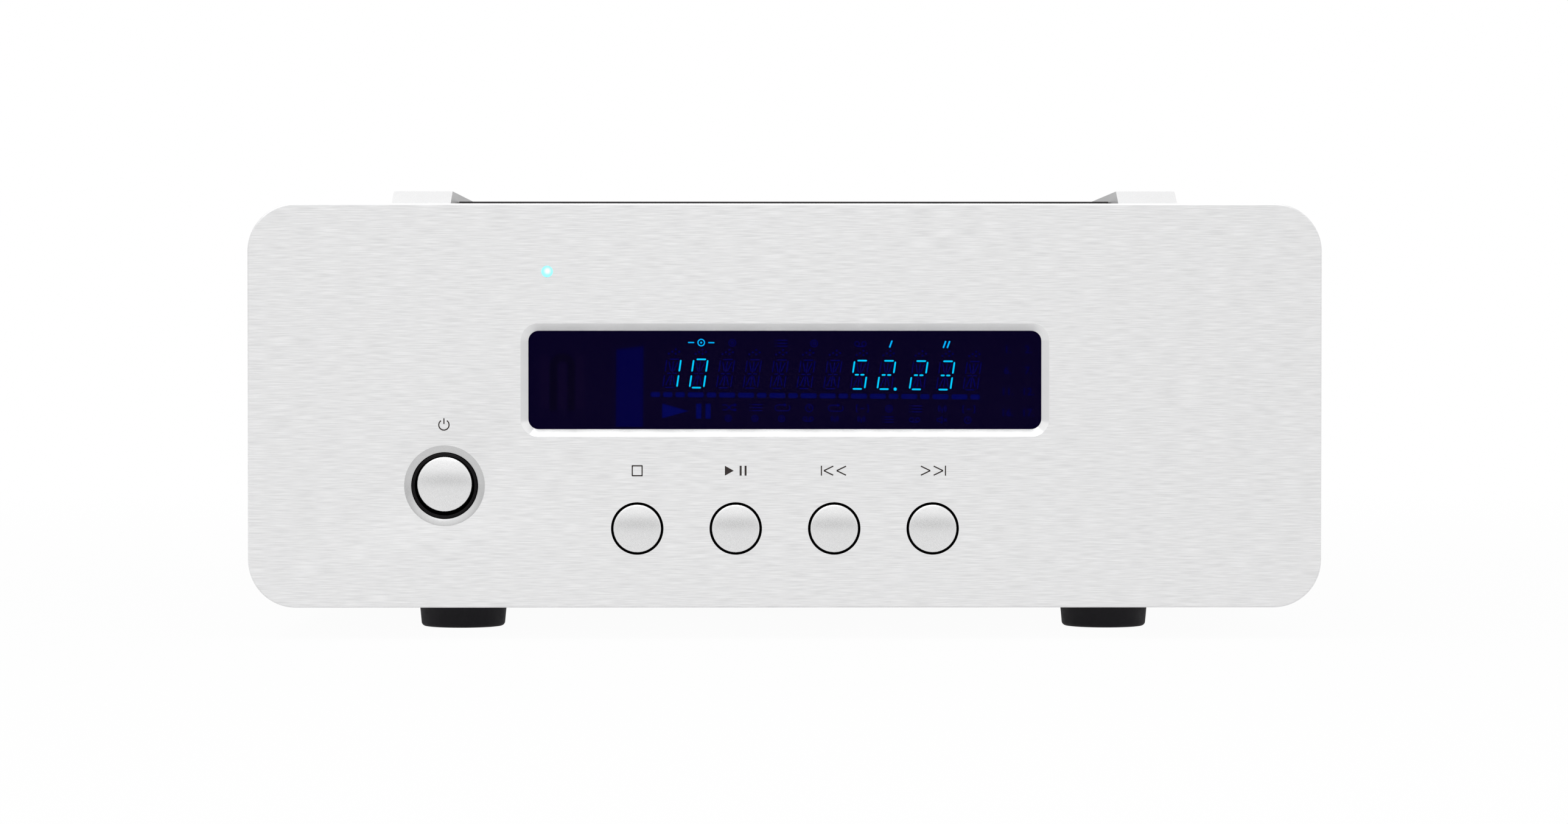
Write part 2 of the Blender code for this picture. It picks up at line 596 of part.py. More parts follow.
def cover():
    """Folded cover with the well's opening and two rows of vents, and its four side screws."""
    body = bar("top_cover", (-CASE_HALF, TRAY_FRONT_Y, CASE_BOTTOM), (CASE_HALF, REAR_Y, CASE_TOP),
               "painted_steel")
    inner = bar("cover_inside", (SHEET - CASE_HALF, TRAY_FRONT_Y - 1, CASE_BOTTOM - 1),
                (CASE_HALF - SHEET, REAR_Y + 1, COVER_UNDER))
    across = (COVER_UNDER - SHEET, CASE_TOP + SHEET)
    opening = rod("well_cut", WELL_RADIUS, *across, (0, WELL_Y), steps=44)
    tools = [inner, opening]
    width, length = VENT_SLOT
    for row in range(2):
        y = REAR_Y - VENT_REAR - row * (length + VENT_GAP)
        for column in range(VENT_COLUMNS):
            x = (column - (VENT_COLUMNS - 1) / 2) * VENT_PITCH
            tools.append(bar("vent_cut", (x - width / 2, y - length, across[0]),
                             (x + width / 2, y, across[1])))
    for side, hand in ((-1, "left"), (1, "right")):
        for end, y in zip(("front", "rear"), cover_screw_ys()):
            middle = side * (CASE_HALF - SHEET / 2)
            tools.append(rod("side_cut", COVER_SCREW_RADIUS + GAP, middle - SHEET, middle + SHEET,
                             (y, COVER_SCREW_Z), "X", steps=12))
            head = CASE_HALF + GAP
            profile = [(0, head + COVER_SCREW_HEAD[1]),
                       (COVER_SCREW_HEAD[0] * 0.7, head + COVER_SCREW_HEAD[1]),
                       (COVER_SCREW_HEAD[0], head + COVER_SCREW_HEAD[1] * 0.4), (COVER_SCREW_HEAD[0], head),
                       (COVER_SCREW_RADIUS, head), (COVER_SCREW_RADIUS, TRAY_HALF - 3 * SHEET),
                       (0, TRAY_HALF - 3 * SHEET)]
            turned(f"{end}_{hand}_cover_screw", [(radius, side * along) for radius, along in profile],
                   (0, y, COVER_SCREW_Z), "X", "bright_screw", 10)
    cut(body, *tools)


def rails_and_lid():
    """Two rails with a ramp at the front and a stopped groove, and the lid that slides in them."""
    height = RAIL_TOP - RAIL_BOTTOM
    front, rear = FACE_Y + RAIL_FRONT, REAR_Y - RAIL_REAR_STEP
    outline = [(front, 0), (rear, 0), (rear, height - RAIL_NOSE / 2), (rear - RAIL_NOSE / 2, height),
               (front + RAIL_RAMP, height), (front, RAIL_NOSE)]
    tongue_low = LID_BOTTOM + (LID_THICK - LID_TONGUE) / 2
    groove = (tongue_low - GROOVE_CLEAR, tongue_low + LID_TONGUE + GROOVE_CLEAR)
    half = RAIL_INNER - GAP
    reach = half + LID_TONGUE_REACH
    for side, hand in ((-1, "left"), (1, "right")):
        rail = loft(f"{hand}_lid_rail", [(side * RAIL_INNER, outline), (side * RAIL_OUTER, outline)],
                    (0, 0, RAIL_BOTTOM), "X", "brushed_aluminium")
        ends = sorted((side * (RAIL_INNER - LID_TONGUE_REACH), side * (reach + GAP)))
        cut(rail, bar(f"{hand}_groove", (ends[0], LID_Y - GAP, groove[0]),
                      (ends[1], rear + RAIL_FRONT, groove[1])))
    low, high = (LID_THICK - LID_TONGUE) / 2, (LID_THICK + LID_TONGUE) / 2
    section = [(half, 0), (half, low), (reach, low), (reach, high), (half, high), (half, LID_THICK)]
    section += [(-x, z) for x, z in reversed(section)]
    lid = loft("sliding_lid", [(0, section), (LID_LENGTH, section)], (0, LID_Y, LID_BOTTOM), "Y",
               "smoked_acrylic")
    width, length, depth = LID_GRIP
    grip = rounded(width, length, 0.45 * length)
    cut(lid, loft("lid_grip", [(-depth, grip), (depth, grip)],
                  (0, LID_Y + 2 * length, LID_BOTTOM + LID_THICK)))


def rear_panel():
    """Rear panel with its cut-outs, and the connectors that stand in them."""
    panel = bar("rear_panel", (-TRAY_HALF, REAR_Y - SHEET, CASE_BOTTOM),
                (TRAY_HALF, REAR_Y, COVER_UNDER - GAP),
                "painted_steel")
    through = (REAR_Y - 2 * SHEET, REAR_Y + SHEET)
    tools = [inlet()]
    rows = [PANEL_BOTTOM + up for up in JACK_ROWS]
    jacks = {"left_output_jack": (JACK_COLUMN_X, rows[0]), "right_output_jack": (JACK_COLUMN_X, rows[1]),
             "coaxial_output": (DIGITAL_COLUMN_X, rows[0])}
    for name, place in jacks.items():
        output_jack(name, *place)
        tools.append(rod(name + "_cut", JACK_NECK + GAP, *through, place, "Y"))
    tools.append(optical_output(DIGITAL_COLUMN_X, rows[1], through))
    cut(panel, *tools)


def inlet():
    """Mains inlet: a plate outside, a body through the panel and three blades in the socket."""
    centre = (INLET_X, REAR_Y, PANEL_BOTTOM + INLET_UP)
    width, height = INLET_BODY
    plate_width, plate_height, thick = INLET_PLATE
    plate = rounded(plate_width, plate_height, 0.002, 3)
    body = loft("mains_inlet", [(GAP, plate), (GAP + thick, plate)], centre, "Y", "black_plastic")
    depth = INLET_SOCKET_DEPTH + thick
    block = rounded(width, height)
    join(body, loft("inlet_block", [(-depth, block), (GAP + thick / 2, block)], centre, "Y"))
    socket = rounded(*INLET_SOCKET, 0.0025, 3)
    cut(body, loft("inlet_socket", [(GAP + thick - INLET_SOCKET_DEPTH, socket), (2 * thick, socket)],
                   centre, "Y"))
    across, along, tall = INLET_PIN
    start = GAP + thick - INLET_SOCKET_DEPTH - thick / 2
    for x, z in ((-0.007, -0.002), (0.007, -0.002), (0.0, 0.002)):
        low = (centre[0] + x - across / 2, centre[1] + start, centre[2] + z - tall / 2)
        high = (centre[0] + x + across / 2, centre[1] + start + along, centre[2] + z + tall / 2)
        join(body, bar("inlet_blade", low, high))
    hole = rounded(width + 2 * GAP, height + 2 * GAP)
    return loft("inlet_cut", [(-2 * SHEET, hole), (SHEET, hole)], centre, "Y")


def output_jack(name, x, z):
    """Round jack: a body inside, a neck through the panel, a nut and a hollow barrel outside."""
    inside, nut = -SHEET - GAP, GAP + SHEET
    profile = [(0, -JACK_REACH), (1.2 * JACK_NECK, -JACK_REACH), (1.2 * JACK_NECK, inside),
               (JACK_NECK, inside),
               (JACK_NECK, GAP), (1.3 * JACK_NECK, GAP), (1.3 * JACK_NECK, nut), (JACK_BARREL, nut),
               (JACK_BARREL, JACK_REACH), (0.8 * JACK_BARREL, JACK_REACH), (0.8 * JACK_BARREL, 2 * nut),
               (0.6 * JACK_BARREL, 2 * nut), (0.6 * JACK_BARREL, 0.85 * JACK_REACH),
               (0.35 * JACK_BARREL, 0.85 * JACK_REACH), (0.35 * JACK_BARREL, nut), (0, nut)]
    turned(name, profile, (x, REAR_Y, z), "Y", "gold_plate", 14)


def optical_output(x, z, through):
    """Square optical connector with its socket; returns the tool for its hole in the panel."""
    half = OPTICAL_SIZE / 2
    low, high = REAR_Y - JACK_REACH, REAR_Y + SHEET
    body = bar("optical_output", (x - half, low, z - half), (x + half, high, z + half), "black_plastic")
    mouth, depth = OPTICAL_SOCKET
    cut(body, bar("optical_socket", (x - mouth / 2, high - depth, z - mouth / 2),
                  (x + mouth / 2, high + depth, z + mouth / 2)))
    half += GAP
    return bar("optical_cut", (x - half, through[0], z - half), (x + half, through[1], z + half))


def electronics():
    """Main board on its posts with its tall parts, and the bolted ring transformer."""
    width, length = MAIN_BOARD
    right = TRAY_HALF - BOARD_MARGIN - 2 * GAP
    rear = REAR_Y - MAIN_BOARD_REAR_STEP
    low = TRAY_TOP + STANDOFF + GAP
    bar("main_board", (right - width, rear - length, low), (right, rear, low + BOARD_THICK), "circuit_board")
    top = low + BOARD_THICK + GAP
    radius, tall = CAPACITOR
    for index, hand in enumerate(("left", "right")):
        x = right - width + (1.6 + 2.4 * index) * radius
        rod(f"{hand}_reservoir_capacitor", radius, top, top + tall, (x, rear - 4 * radius), "Z",
            "black_plastic")
    base = bar("heatsink", (right - 0.042, rear - 0.045, top), (right - 0.012, rear - 0.042, top + tall),
               "black_plastic")
    fins = [bar("heatsink_fin", (right - 0.042 + 0.007 * fin, rear - 0.043, top),
                (right - 0.040 + 0.007 * fin, rear - 0.030, top + tall)) for fin in range(5)]
    join(base, *fins)
    axis = (CORE_X, REAR_Y - CORE_AHEAD)
    core_low = TRAY_TOP + GAP
    core_high = core_low + CORE_HEIGHT
    bulge = CORE_HEIGHT * 0.18
    ring = [(CORE_HOLE, core_low + bulge), (CORE_HOLE + bulge, core_low), (CORE_RADIUS - bulge, core_low),
            (CORE_RADIUS, core_low + bulge), (CORE_RADIUS, core_high - bulge),
            (CORE_RADIUS - bulge, core_high),
            (CORE_HOLE + bulge, core_high), (CORE_HOLE, core_high - bulge)]
    turned("ring_transformer", ring, (*axis, 0), "Z", "core_wrap", loop=True)
    plate_low = core_high + GAP
    plate = [(BOLT_RADIUS + GAP, plate_low), (0.6 * CORE_RADIUS, plate_low),
             (0.6 * CORE_RADIUS, plate_low + SHEET), (BOLT_RADIUS + GAP, plate_low + SHEET)]
    turned("transformer_clamp", plate, (*axis, 0), "Z", "plated_steel", 18, loop=True)
    head = plate_low + SHEET + GAP
    bolt = [(0, CASE_BOTTOM + GAP), (BOLT_RADIUS, CASE_BOTTOM + GAP), (BOLT_RADIUS, head),
            (2 * BOLT_RADIUS, head),
            (2 * BOLT_RADIUS, head + BOLT_RADIUS), (0, head + BOLT_RADIUS)]
    turned("transformer_bolt", bolt, (*axis, 0), "Z", "bright_screw", 12)


def disc_deck():
    """Disc well: rim under the cover, wall, stepped floor, hub hole and pickup slot."""
    wall = WELL_RADIUS + WELL_WALL
    top = COVER_UNDER - GAP
    rim = WELL_RADIUS + WELL_RIM
    step = WELL_FLOOR_TOP - SMALL_DISC_STEP
    profile = [(HUB_HOLE, DECK_BOTTOM), (wall, DECK_BOTTOM), (wall, top - SHEET), (rim, top - SHEET),
               (rim, top),
               (WELL_RADIUS, top), (WELL_RADIUS, WELL_FLOOR_TOP), (SMALL_DISC_RADIUS, WELL_FLOOR_TOP),
               (SMALL_DISC_RADIUS, step), (HUB_HOLE, step)]
    deck = turned("disc_deck", profile, (0, WELL_Y, 0), "Z", "black_plastic", 44, loop=True)
    half = PICKUP_SLOT / 2
    far = LENS_INNER + LENS_TRAVEL + LENS_SIZE / 2 + RUN_GAP
    cut(deck, bar("pickup_slot", (-half, WELL_Y - far, DECK_BOTTOM - SHEET),
                  (half, WELL_Y - HUB_HOLE / 2, WELL_FLOOR_TOP + SHEET)))


def turntable():
    """Motor, the turntable with its shaft in the motor, and the clamp puck that sits on it."""
    radius, height = SPINDLE_MOTOR
    top = FRAME_BOTTOM - GAP
    boss = FRAME_TOP + GAP
    bore = SHAFT_RADIUS + GAP
    floor = top - 0.8 * height
    profile = [(0, top - height), (radius, top - height), (radius, top), (MOTOR_BOSS, top),
               (MOTOR_BOSS, boss),
               (bore, boss), (bore, floor), (0, floor)]
    turned("spindle_motor", profile, (0, WELL_Y, 0), "Z", "plated_steel", 18)
    nose = PLATTER_TOP + NOSE_RISE
    neck = boss + GAP
    profile = [(0, top - 0.6 * height), (SHAFT_RADIUS, top - 0.6 * height), (SHAFT_RADIUS, neck),
               (NECK_RADIUS, neck), (NECK_RADIUS, PLATTER_BOTTOM), (PLATTER_RADIUS, PLATTER_BOTTOM),
               (PLATTER_RADIUS, PLATTER_TOP), (NOSE_RADIUS, PLATTER_TOP), (NOSE_RADIUS, nose - NOSE_RISE / 2),
               (NOSE_RADIUS * 0.8, nose), (0, nose)]
    turned("turntable", profile, (0, WELL_Y, 0), "Z", "black_plastic", 26)
    low = PLATTER_TOP + GAP
    top = low + PUCK_HEIGHT
    recess = nose + GAP
    profile = [(0, recess), (NOSE_RADIUS + GAP, recess), (NOSE_RADIUS + GAP, low), (0.97 * PUCK_RADIUS, low),
               (PUCK_RADIUS, low + 0.08 * PUCK_HEIGHT), (PUCK_RADIUS, low + 0.35 * PUCK_HEIGHT),
               (0.96 * PUCK_RADIUS, low + 0.42 * PUCK_HEIGHT), (PUCK_GRIP_RADIUS, low + 0.5 * PUCK_HEIGHT),
               (PUCK_GRIP_RADIUS, top - 0.1 * PUCK_HEIGHT), (0.95 * PUCK_GRIP_RADIUS, top), (0, top)]
    turned("clamp_puck", profile, (0, WELL_Y, 0), "Z", "black_plastic", 26)


def mechanism_frame():
    """Plate under the well with its rod pillars and gear post, the rods and the isolators."""
    front, rear = WELL_Y - FRAME_FRONT, WELL_Y + FRAME_REAR
    frame = bar("mechanism_frame", (-FRAME_HALF_WIDTH, front, FRAME_BOTTOM),
                (FRAME_HALF_WIDTH, rear, FRAME_TOP),
                "plated_steel")
    wide, deep, tall = PILLAR
    ends = (LENS_Y + SLED_LENGTH / 2 + RUN_GAP, LENS_Y - LENS_TRAVEL - SLED_LENGTH / 2 - RUN_GAP)
    starts = (ends[0], ends[1] - deep)
    pillars = [bar("rod_pillar", (side * ROD_X - wide / 2, y, FRAME_TOP - FRAME_THICK / 2),
                   (side * ROD_X + wide / 2, y + deep, FRAME_TOP + tall)) for side in (-1, 1) for y in starts]
    post = rod("gear_post", ROD_RADIUS, FRAME_TOP - FRAME_THICK / 2, GEAR_BOTTOM + GEAR_HEIGHT + GAP,
               (DRIVE_X, DRIVE_Y), steps=16)
    join(frame, *pillars, post)
    width, length = FRAME_SLOT
    below = (FRAME_BOTTOM - FRAME_THICK, FRAME_TOP + FRAME_THICK)
    slot_rear = LENS_Y + SLED_BLOCK[1] / 2 + RUN_GAP
    tools = [bar("sled_slot", (-width / 2, slot_rear - SLED_BLOCK[1] - LENS_TRAVEL - 2 * RUN_GAP, below[0]),
                 (width / 2, slot_rear, below[1])),
             rod("spindle_cut", MOTOR_BOSS + GAP, *below, (0, WELL_Y)),
             rod("pinion_cut", MOTOR_BOSS + GAP, *below, (DRIVE_X, PINION_Y))]
    tools += [rod("rod_cut", ROD_RADIUS + GAP, starts[1] - deep, starts[0] + 2 * deep,
                  (side * ROD_X, ROD_Z), "Y",
                  steps=16) for side in (-1, 1)]
    cut(frame, *tools)
    for side, hand in ((-1, "left"), (1, "right")):
        rod(f"{hand}_guide_rod", ROD_RADIUS, starts[1], starts[0] + deep, (side * ROD_X, ROD_Z), "Y",
            "bright_screw", 16)
        for end, y in (("front", WELL_Y - ISOLATOR_FRONT), ("rear", WELL_Y + ISOLATOR_REAR)):
            low, high = FRAME_TOP + GAP, DECK_BOTTOM - GAP
            waist = (low + high) / 2
            profile = [(0, low), (ISOLATOR_RADIUS, low), (ISOLATOR_RADIUS, low + 0.25 * (high - low)),
                       (0.7 * ISOLATOR_RADIUS, waist), (ISOLATOR_RADIUS, high - 0.25 * (high - low)),
                       (ISOLATOR_RADIUS, high), (0, high)]
            turned(f"{end}_{hand}_isolator", profile, (side * ISOLATOR_X, y, 0), "Z", "black_rubber", 12)


def rack_teeth(start, end, base):
    """Outline of the rack's toothed edge along Y, with a tooth's middle in line with the drive gear."""
    count_back = math.floor((end - DRIVE_Y) / PITCH - 0.5)
    count_ahead = math.floor((DRIVE_Y - start) / PITCH - 0.5)
    tip, root = RACK_PITCH_X + 0.85 * MODULE, RACK_PITCH_X - 1.25 * MODULE
    outline = [(base, end), (base, start), (root, start)]
    for tooth in range(-count_ahead, count_back + 1):
        middle = DRIVE_Y + tooth * PITCH
        for x, half_share in ((root, -0.9), (tip, -0.25), (tip, 0.25), (root, 0.9)):
            outline.append((x, middle + half_share * TOOTH_SHARE * PITCH / 1.15))
    return outline + [(root, end)]


def pickup():
    """Sled on its two rods with the rack along its right side, and the lens holder above it."""
    low = FRAME_TOP + SLED_LIFT
    top = low + SLED_THICK
    half = SLED_LENGTH / 2
    sled = bar("pickup_sled", (-SLED_HALF_WIDTH, LENS_Y - half, low), (SLED_HALF_WIDTH, LENS_Y + half, top),
               "black_plastic")
    wide, deep, drop = (size / 2 for size in SLED_BLOCK)
    block = bar("optics_block", (-wide, LENS_Y - deep, low - 2 * drop), (wide, LENS_Y + deep, low + SHEET))
    start = DRIVE_Y - RACK_OVERRUN
    end = DRIVE_Y + LENS_TRAVEL + RACK_OVERRUN
    edge = rack_teeth(start, end, SLED_HALF_WIDTH - GAP)
    rack = loft("sled_rack", [(low - SLED_LIFT + GAP, edge), (low + RACK_HEIGHT, edge)])
    join(sled, block, rack)
    cut(sled, *[rod("rod_bore", ROD_RADIUS + GAP, LENS_Y - SLED_LENGTH, LENS_Y + SLED_LENGTH,
                    (side * ROD_X, ROD_Z), "Y", steps=16) for side in (-1, 1)])
    size = LENS_SIZE
    floor = top + RUN_GAP
    outline = rounded(size, size, 0.2 * size, 3)
    holder = loft("lens_holder", [(floor, outline), (floor + 0.28 * size, outline)], (0, LENS_Y, 0), "Z",
                  "white_plastic")
    lens = [(0, floor + SHEET), (0.2 * size, floor + SHEET), (0.2 * size, floor + 0.30 * size),
            (0.12 * size, floor + 0.35 * size), (0, floor + 0.37 * size)]
    join(holder, turned("lens", lens, (0, LENS_Y, 0), "Z", steps=20))


def drive_train():
    """Drive gear on its post, the pinion and the motor that turns it."""
    gear("drive_gear", DRIVE_TEETH, (DRIVE_X, DRIVE_Y, GEAR_BOTTOM), GEAR_HEIGHT,
         math.pi + math.pi / DRIVE_TEETH, "white_plastic", bore=ROD_RADIUS + GAP)
    radius, height = SLED_MOTOR
    top = FRAME_BOTTOM - GAP
    gear("motor_pinion", PINION_TEETH, (DRIVE_X, PINION_Y, GEAR_BOTTOM + GAP), GEAR_HEIGHT - GAP,
         -math.pi / 2,
         "white_plastic", shaft_end=top - 0.5 * height)
    bore = SHAFT_RADIUS + GAP
    floor = top - 0.7 * height
    profile = [(0, top - height), (radius, top - height), (radius, top), (MOTOR_BOSS, top),
               (MOTOR_BOSS, FRAME_TOP), (bore, FRAME_TOP), (bore, floor), (0, floor)]
    turned("sled_motor", profile, (DRIVE_X, PINION_Y, 0), "Z", "plated_steel", 16)


empty_scene()
front_panel()
display_window()
power_lamp()
keys()
power_button()
control_board()
tray()
feet()
cover()
rails_and_lid()
rear_panel()
electronics()
disc_deck()
turntable()
mechanism_frame()
pickup()
drive_train()
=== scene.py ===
# %% [markdown]
# # A half-width disc player that loads from above
# We dress a finished CAD model here. The frame gives every piece at its real size, and this notebook
# adds the finishes, the finely rounded fronts, the lit display and the printed marks. Each markdown
# cell says what a piece is on the real player, how it could be made, and why it is made this way.

# %% Load the frame
import math

import bmesh
import bpy
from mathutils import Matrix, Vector


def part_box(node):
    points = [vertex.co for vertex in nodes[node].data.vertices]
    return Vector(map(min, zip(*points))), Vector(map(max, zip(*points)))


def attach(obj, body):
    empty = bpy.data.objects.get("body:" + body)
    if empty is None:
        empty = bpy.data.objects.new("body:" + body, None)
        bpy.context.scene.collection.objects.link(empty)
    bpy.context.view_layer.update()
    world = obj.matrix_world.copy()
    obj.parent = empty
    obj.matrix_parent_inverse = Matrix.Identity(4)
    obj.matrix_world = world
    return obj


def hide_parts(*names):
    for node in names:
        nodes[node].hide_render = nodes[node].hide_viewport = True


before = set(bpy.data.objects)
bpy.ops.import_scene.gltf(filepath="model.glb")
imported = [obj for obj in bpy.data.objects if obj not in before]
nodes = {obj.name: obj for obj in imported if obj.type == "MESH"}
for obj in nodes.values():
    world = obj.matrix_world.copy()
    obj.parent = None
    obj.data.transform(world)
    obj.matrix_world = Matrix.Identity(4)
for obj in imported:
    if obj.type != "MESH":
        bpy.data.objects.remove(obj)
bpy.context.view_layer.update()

# %% [markdown]
# ## Where things are
# Every later cell places its work from these boxes, so nothing is fitted by eye. The panel's face is
# the plane that all printed marks and keys are measured from.

# %% Landmarks read from the frame
PANEL_LOW, PANEL_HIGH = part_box("front_panel")
WINDOW_LOW, WINDOW_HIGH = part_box("display_window")
FACE_Y = PANEL_LOW[1]
PANEL_THICK = PANEL_HIGH[1] - FACE_Y
PANEL_BASE = PANEL_LOW[2]
PANEL_WIDTH = PANEL_HIGH[0] - PANEL_LOW[0]
PANEL_HEIGHT = PANEL_HIGH[2] - PANEL_BASE
WINDOW_Z = (WINDOW_LOW[2] + WINDOW_HIGH[2]) / 2


def middle(node):
    """Centre of a CAD node's box."""
    low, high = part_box(node)
    return Vector([(a + b) / 2 for a, b in zip(low, high)])


print("panel", round(PANEL_WIDTH, 4), "x", round(PANEL_HEIGHT, 4), "face at", round(FACE_Y, 4))

# %% [markdown]
# ## Camera
# Products like this one are shot straight on with a long lens from nearly a metre away, which keeps
# the panel's edges parallel. A wide lens close by would bend them. The camera stands a little left of
# the middle, at two thirds of the panel's height, and looks down by less than a degree.

# %% Camera
CAMERA_DISTANCE = 0.884
CAMERA_ASIDE = -0.006
CAMERA_ABOVE_PANEL_BASE = 0.0536
CAMERA_PITCH = math.radians(0.90)
CAMERA_YAW = math.radians(0.376)

lens = bpy.data.cameras.new("studio_lens")
lens.lens = 100
lens.sensor_width = 36
lens.clip_start = 0.02
lens.clip_end = 30
camera = bpy.data.objects.new("studio_camera", lens)
camera.location = (CAMERA_ASIDE, FACE_Y - CAMERA_DISTANCE, PANEL_BASE + CAMERA_ABOVE_PANEL_BASE)
camera.rotation_euler = (math.pi / 2 - CAMERA_PITCH, 0, -CAMERA_YAW)
bpy.context.scene.collection.objects.link(camera)
bpy.context.scene.camera = camera
bpy.context.scene.view_settings.view_transform = "Standard"
print("camera", [round(v, 4) for v in camera.location])

# %% [markdown]
# ## Studio
# The set is a white table that curves up out of sight. A white set could be made by flooding it with
# light, but that would wash out the metal. So the floor shows itself to the camera as white paper,
# and near the player a small share of it answers to the lamps, which keeps the soft shadow.
# Metal shows what stands round it. The world is therefore paler overhead than at the horizon, as a
# room under a large soft box is, and that difference gives each key its grey band.

# %% Node helpers
def new_material(name):
    """An empty node material: returns it with its node tree and its Principled shader."""
    material = bpy.data.materials.new(name)
    material.use_nodes = True
    tree = material.node_tree
    return material, tree, tree.nodes["Principled BSDF"]


def add_node(tree, kind, **settings):
    """Add a node and set its properties; a name ending in _in sets an input socket."""
    node = tree.nodes.new("ShaderNode" + kind)
    for name, value in settings.items():
        if name.endswith("_in"):
            node.inputs[name[:-3].replace("_", " ").title()].default_value = value
        else:
            setattr(node, name, value)
    return node


# %% Floor
WHITE = (1.0, 1.0, 1.0, 1.0)
PAPER_NEAR = 0.95
PAPER_FADE_END = 0.75
GLOSS_SHARE = 0.45


def ray_share(tree, path, outputs):
    """1 for rays of the named kinds, 0 for the rest."""
    total = path.outputs[outputs[0]]
    for name in outputs[1:]:
        either = add_node(tree, "Math", operation="MAXIMUM")
        tree.links.new(total, either.inputs[0])
        tree.links.new(path.outputs[name], either.inputs[1])
        total = either.outputs[0]
    return total


def times(tree, source, factor):
    """Multiply a value by a number or by another value."""
    node = add_node(tree, "Math", operation="MULTIPLY")
    tree.links.new(source, node.inputs[0])
    if isinstance(factor, float):
        node.inputs[1].default_value = factor
    else:
        tree.links.new(factor, node.inputs[1])
    return node.outputs[0]


def blend(tree, share, first, second):
    """Mix two shaders; share is a number or a linked value."""
    mix = add_node(tree, "MixShader")
    if isinstance(share, float):
        mix.inputs[0].default_value = share
    else:
        tree.links.new(share, mix.inputs[0])
    tree.links.new(first, mix.inputs[1])
    tree.links.new(second, mix.inputs[2])
    return mix.outputs[0]


def white_floor():
    """A wide plane that shows as white paper, with a soft shadow near the player."""
    bpy.ops.mesh.primitive_plane_add(size=12, location=(0, 0, 0))
    floor = bpy.context.object
    floor.name = "floor"
    material, tree, shader = new_material("white_floor")
    shader.inputs["Base Color"].default_value = (0.84, 0.84, 0.84, 1)
    shader.inputs["Roughness"].default_value = 1.0
    shader.inputs["Specular IOR Level"].default_value = 0.0
    paper = add_node(tree, "Emission", strength_in=1.0)
    paper.inputs["Color"].default_value = WHITE
    path = add_node(tree, "LightPath")
    place = add_node(tree, "TexCoord")
    reach = add_node(tree, "VectorMath", operation="LENGTH")
    fade = add_node(tree, "MapRange")
    fade.inputs["From Max"].default_value = PAPER_FADE_END
    fade.inputs["To Min"].default_value = PAPER_NEAR
    tree.links.new(place.outputs["Object"], reach.inputs[0])
    tree.links.new(reach.outputs["Value"], fade.inputs["Value"])
    seen = times(tree, path.outputs["Is Camera Ray"], fade.outputs["Result"])
    mirrored = times(tree, ray_share(tree, path, ("Is Glossy Ray", "Is Transmission Ray")), GLOSS_SHARE)
    share = add_node(tree, "Math", operation="MAXIMUM")
    tree.links.new(seen, share.inputs[0])
    tree.links.new(mirrored, share.inputs[1])
    mixed = blend(tree, share.outputs[0], shader.outputs[0], paper.outputs[0])
    tree.links.new(mixed, tree.nodes["Material Output"].inputs[0])
    floor.data.materials.append(material)


white_floor()
print("floor: white paper beyond", PAPER_FADE_END, "m")

# %% World and lamps
WORLD_LEVEL = 0.60
DARK_TONE = 0.50
PALE_TONE = 1.0
SIDE_SHARE = 0.55
HIGH_SHARE = 2.6


def studio_world():
    """Even pale surround for light, white to the camera, and paler overhead to what mirrors it."""
    world = bpy.data.worlds.new("studio")
    bpy.context.scene.world = world
    world.use_nodes = True
    tree = world.node_tree
    light = tree.nodes["Background"]
    light.inputs["Color"].default_value = WHITE
    light.inputs["Strength"].default_value = WORLD_LEVEL
    white = add_node(tree, "Background")
    white.inputs["Color"].default_value = WHITE
    white.inputs["Strength"].default_value = 1.0
    room = add_node(tree, "Background")
    room.inputs["Strength"].default_value = 1.0
    path = add_node(tree, "LightPath")
    direction = add_node(tree, "TexCoord")
    weigh = add_node(tree, "VectorMath", operation="MULTIPLY")
    weigh.inputs[1].default_value = (SIDE_SHARE, 0, HIGH_SHARE)
    away = add_node(tree, "VectorMath", operation="LENGTH")
    rise = add_node(tree, "MapRange", interpolation_type="SMOOTHSTEP")
    rise.inputs["To Min"].default_value = DARK_TONE
    rise.inputs["To Max"].default_value = PALE_TONE
    tree.links.new(direction.outputs["Generated"], weigh.inputs[0])
    tree.links.new(weigh.outputs[0], away.inputs[0])
    tree.links.new(away.outputs["Value"], rise.inputs["Value"])
    tree.links.new(rise.outputs["Result"], room.inputs["Color"])
    mirrored = ray_share(tree, path, ("Is Glossy Ray", "Is Transmission Ray"))
    inner = blend(tree, mirrored, light.outputs[0], room.outputs[0])
    outer = blend(tree, path.outputs["Is Camera Ray"], inner, white.outputs[0])
    tree.links.new(outer, tree.nodes["World Output"].inputs[0])


LIGHT_AIM = Vector((0, 0, 0.045))


def soft_light(name, place, size, power):
    """A square studio soft box that points at the player."""
    data = bpy.data.lights.new(name, "AREA")
    data.shape = "SQUARE"
    data.size = size
    data.energy = power
    lamp = bpy.data.objects.new(name, data)
    lamp.location = place
    lamp.rotation_euler = (LIGHT_AIM - Vector(place)).to_track_quat("-Z", "Y").to_euler()
    bpy.context.scene.collection.objects.link(lamp)


studio_world()
soft_light("overhead_box", (-0.2, -0.45, 1.3), 1.4, 7)
print("studio: world and one large soft box")

# %% [markdown]
# ## Shape helpers
# The player is mostly sheet and turned metal. Both come from the same two moves: joining outlines
# into a solid, and turning a profile round an axis. A library of ready primitives would be quicker,
# but its cylinders have sharp rims, and it is the small rounded rims that catch the light.

# %% Outlines, lofts and turned shapes
TURN_STEPS = 96


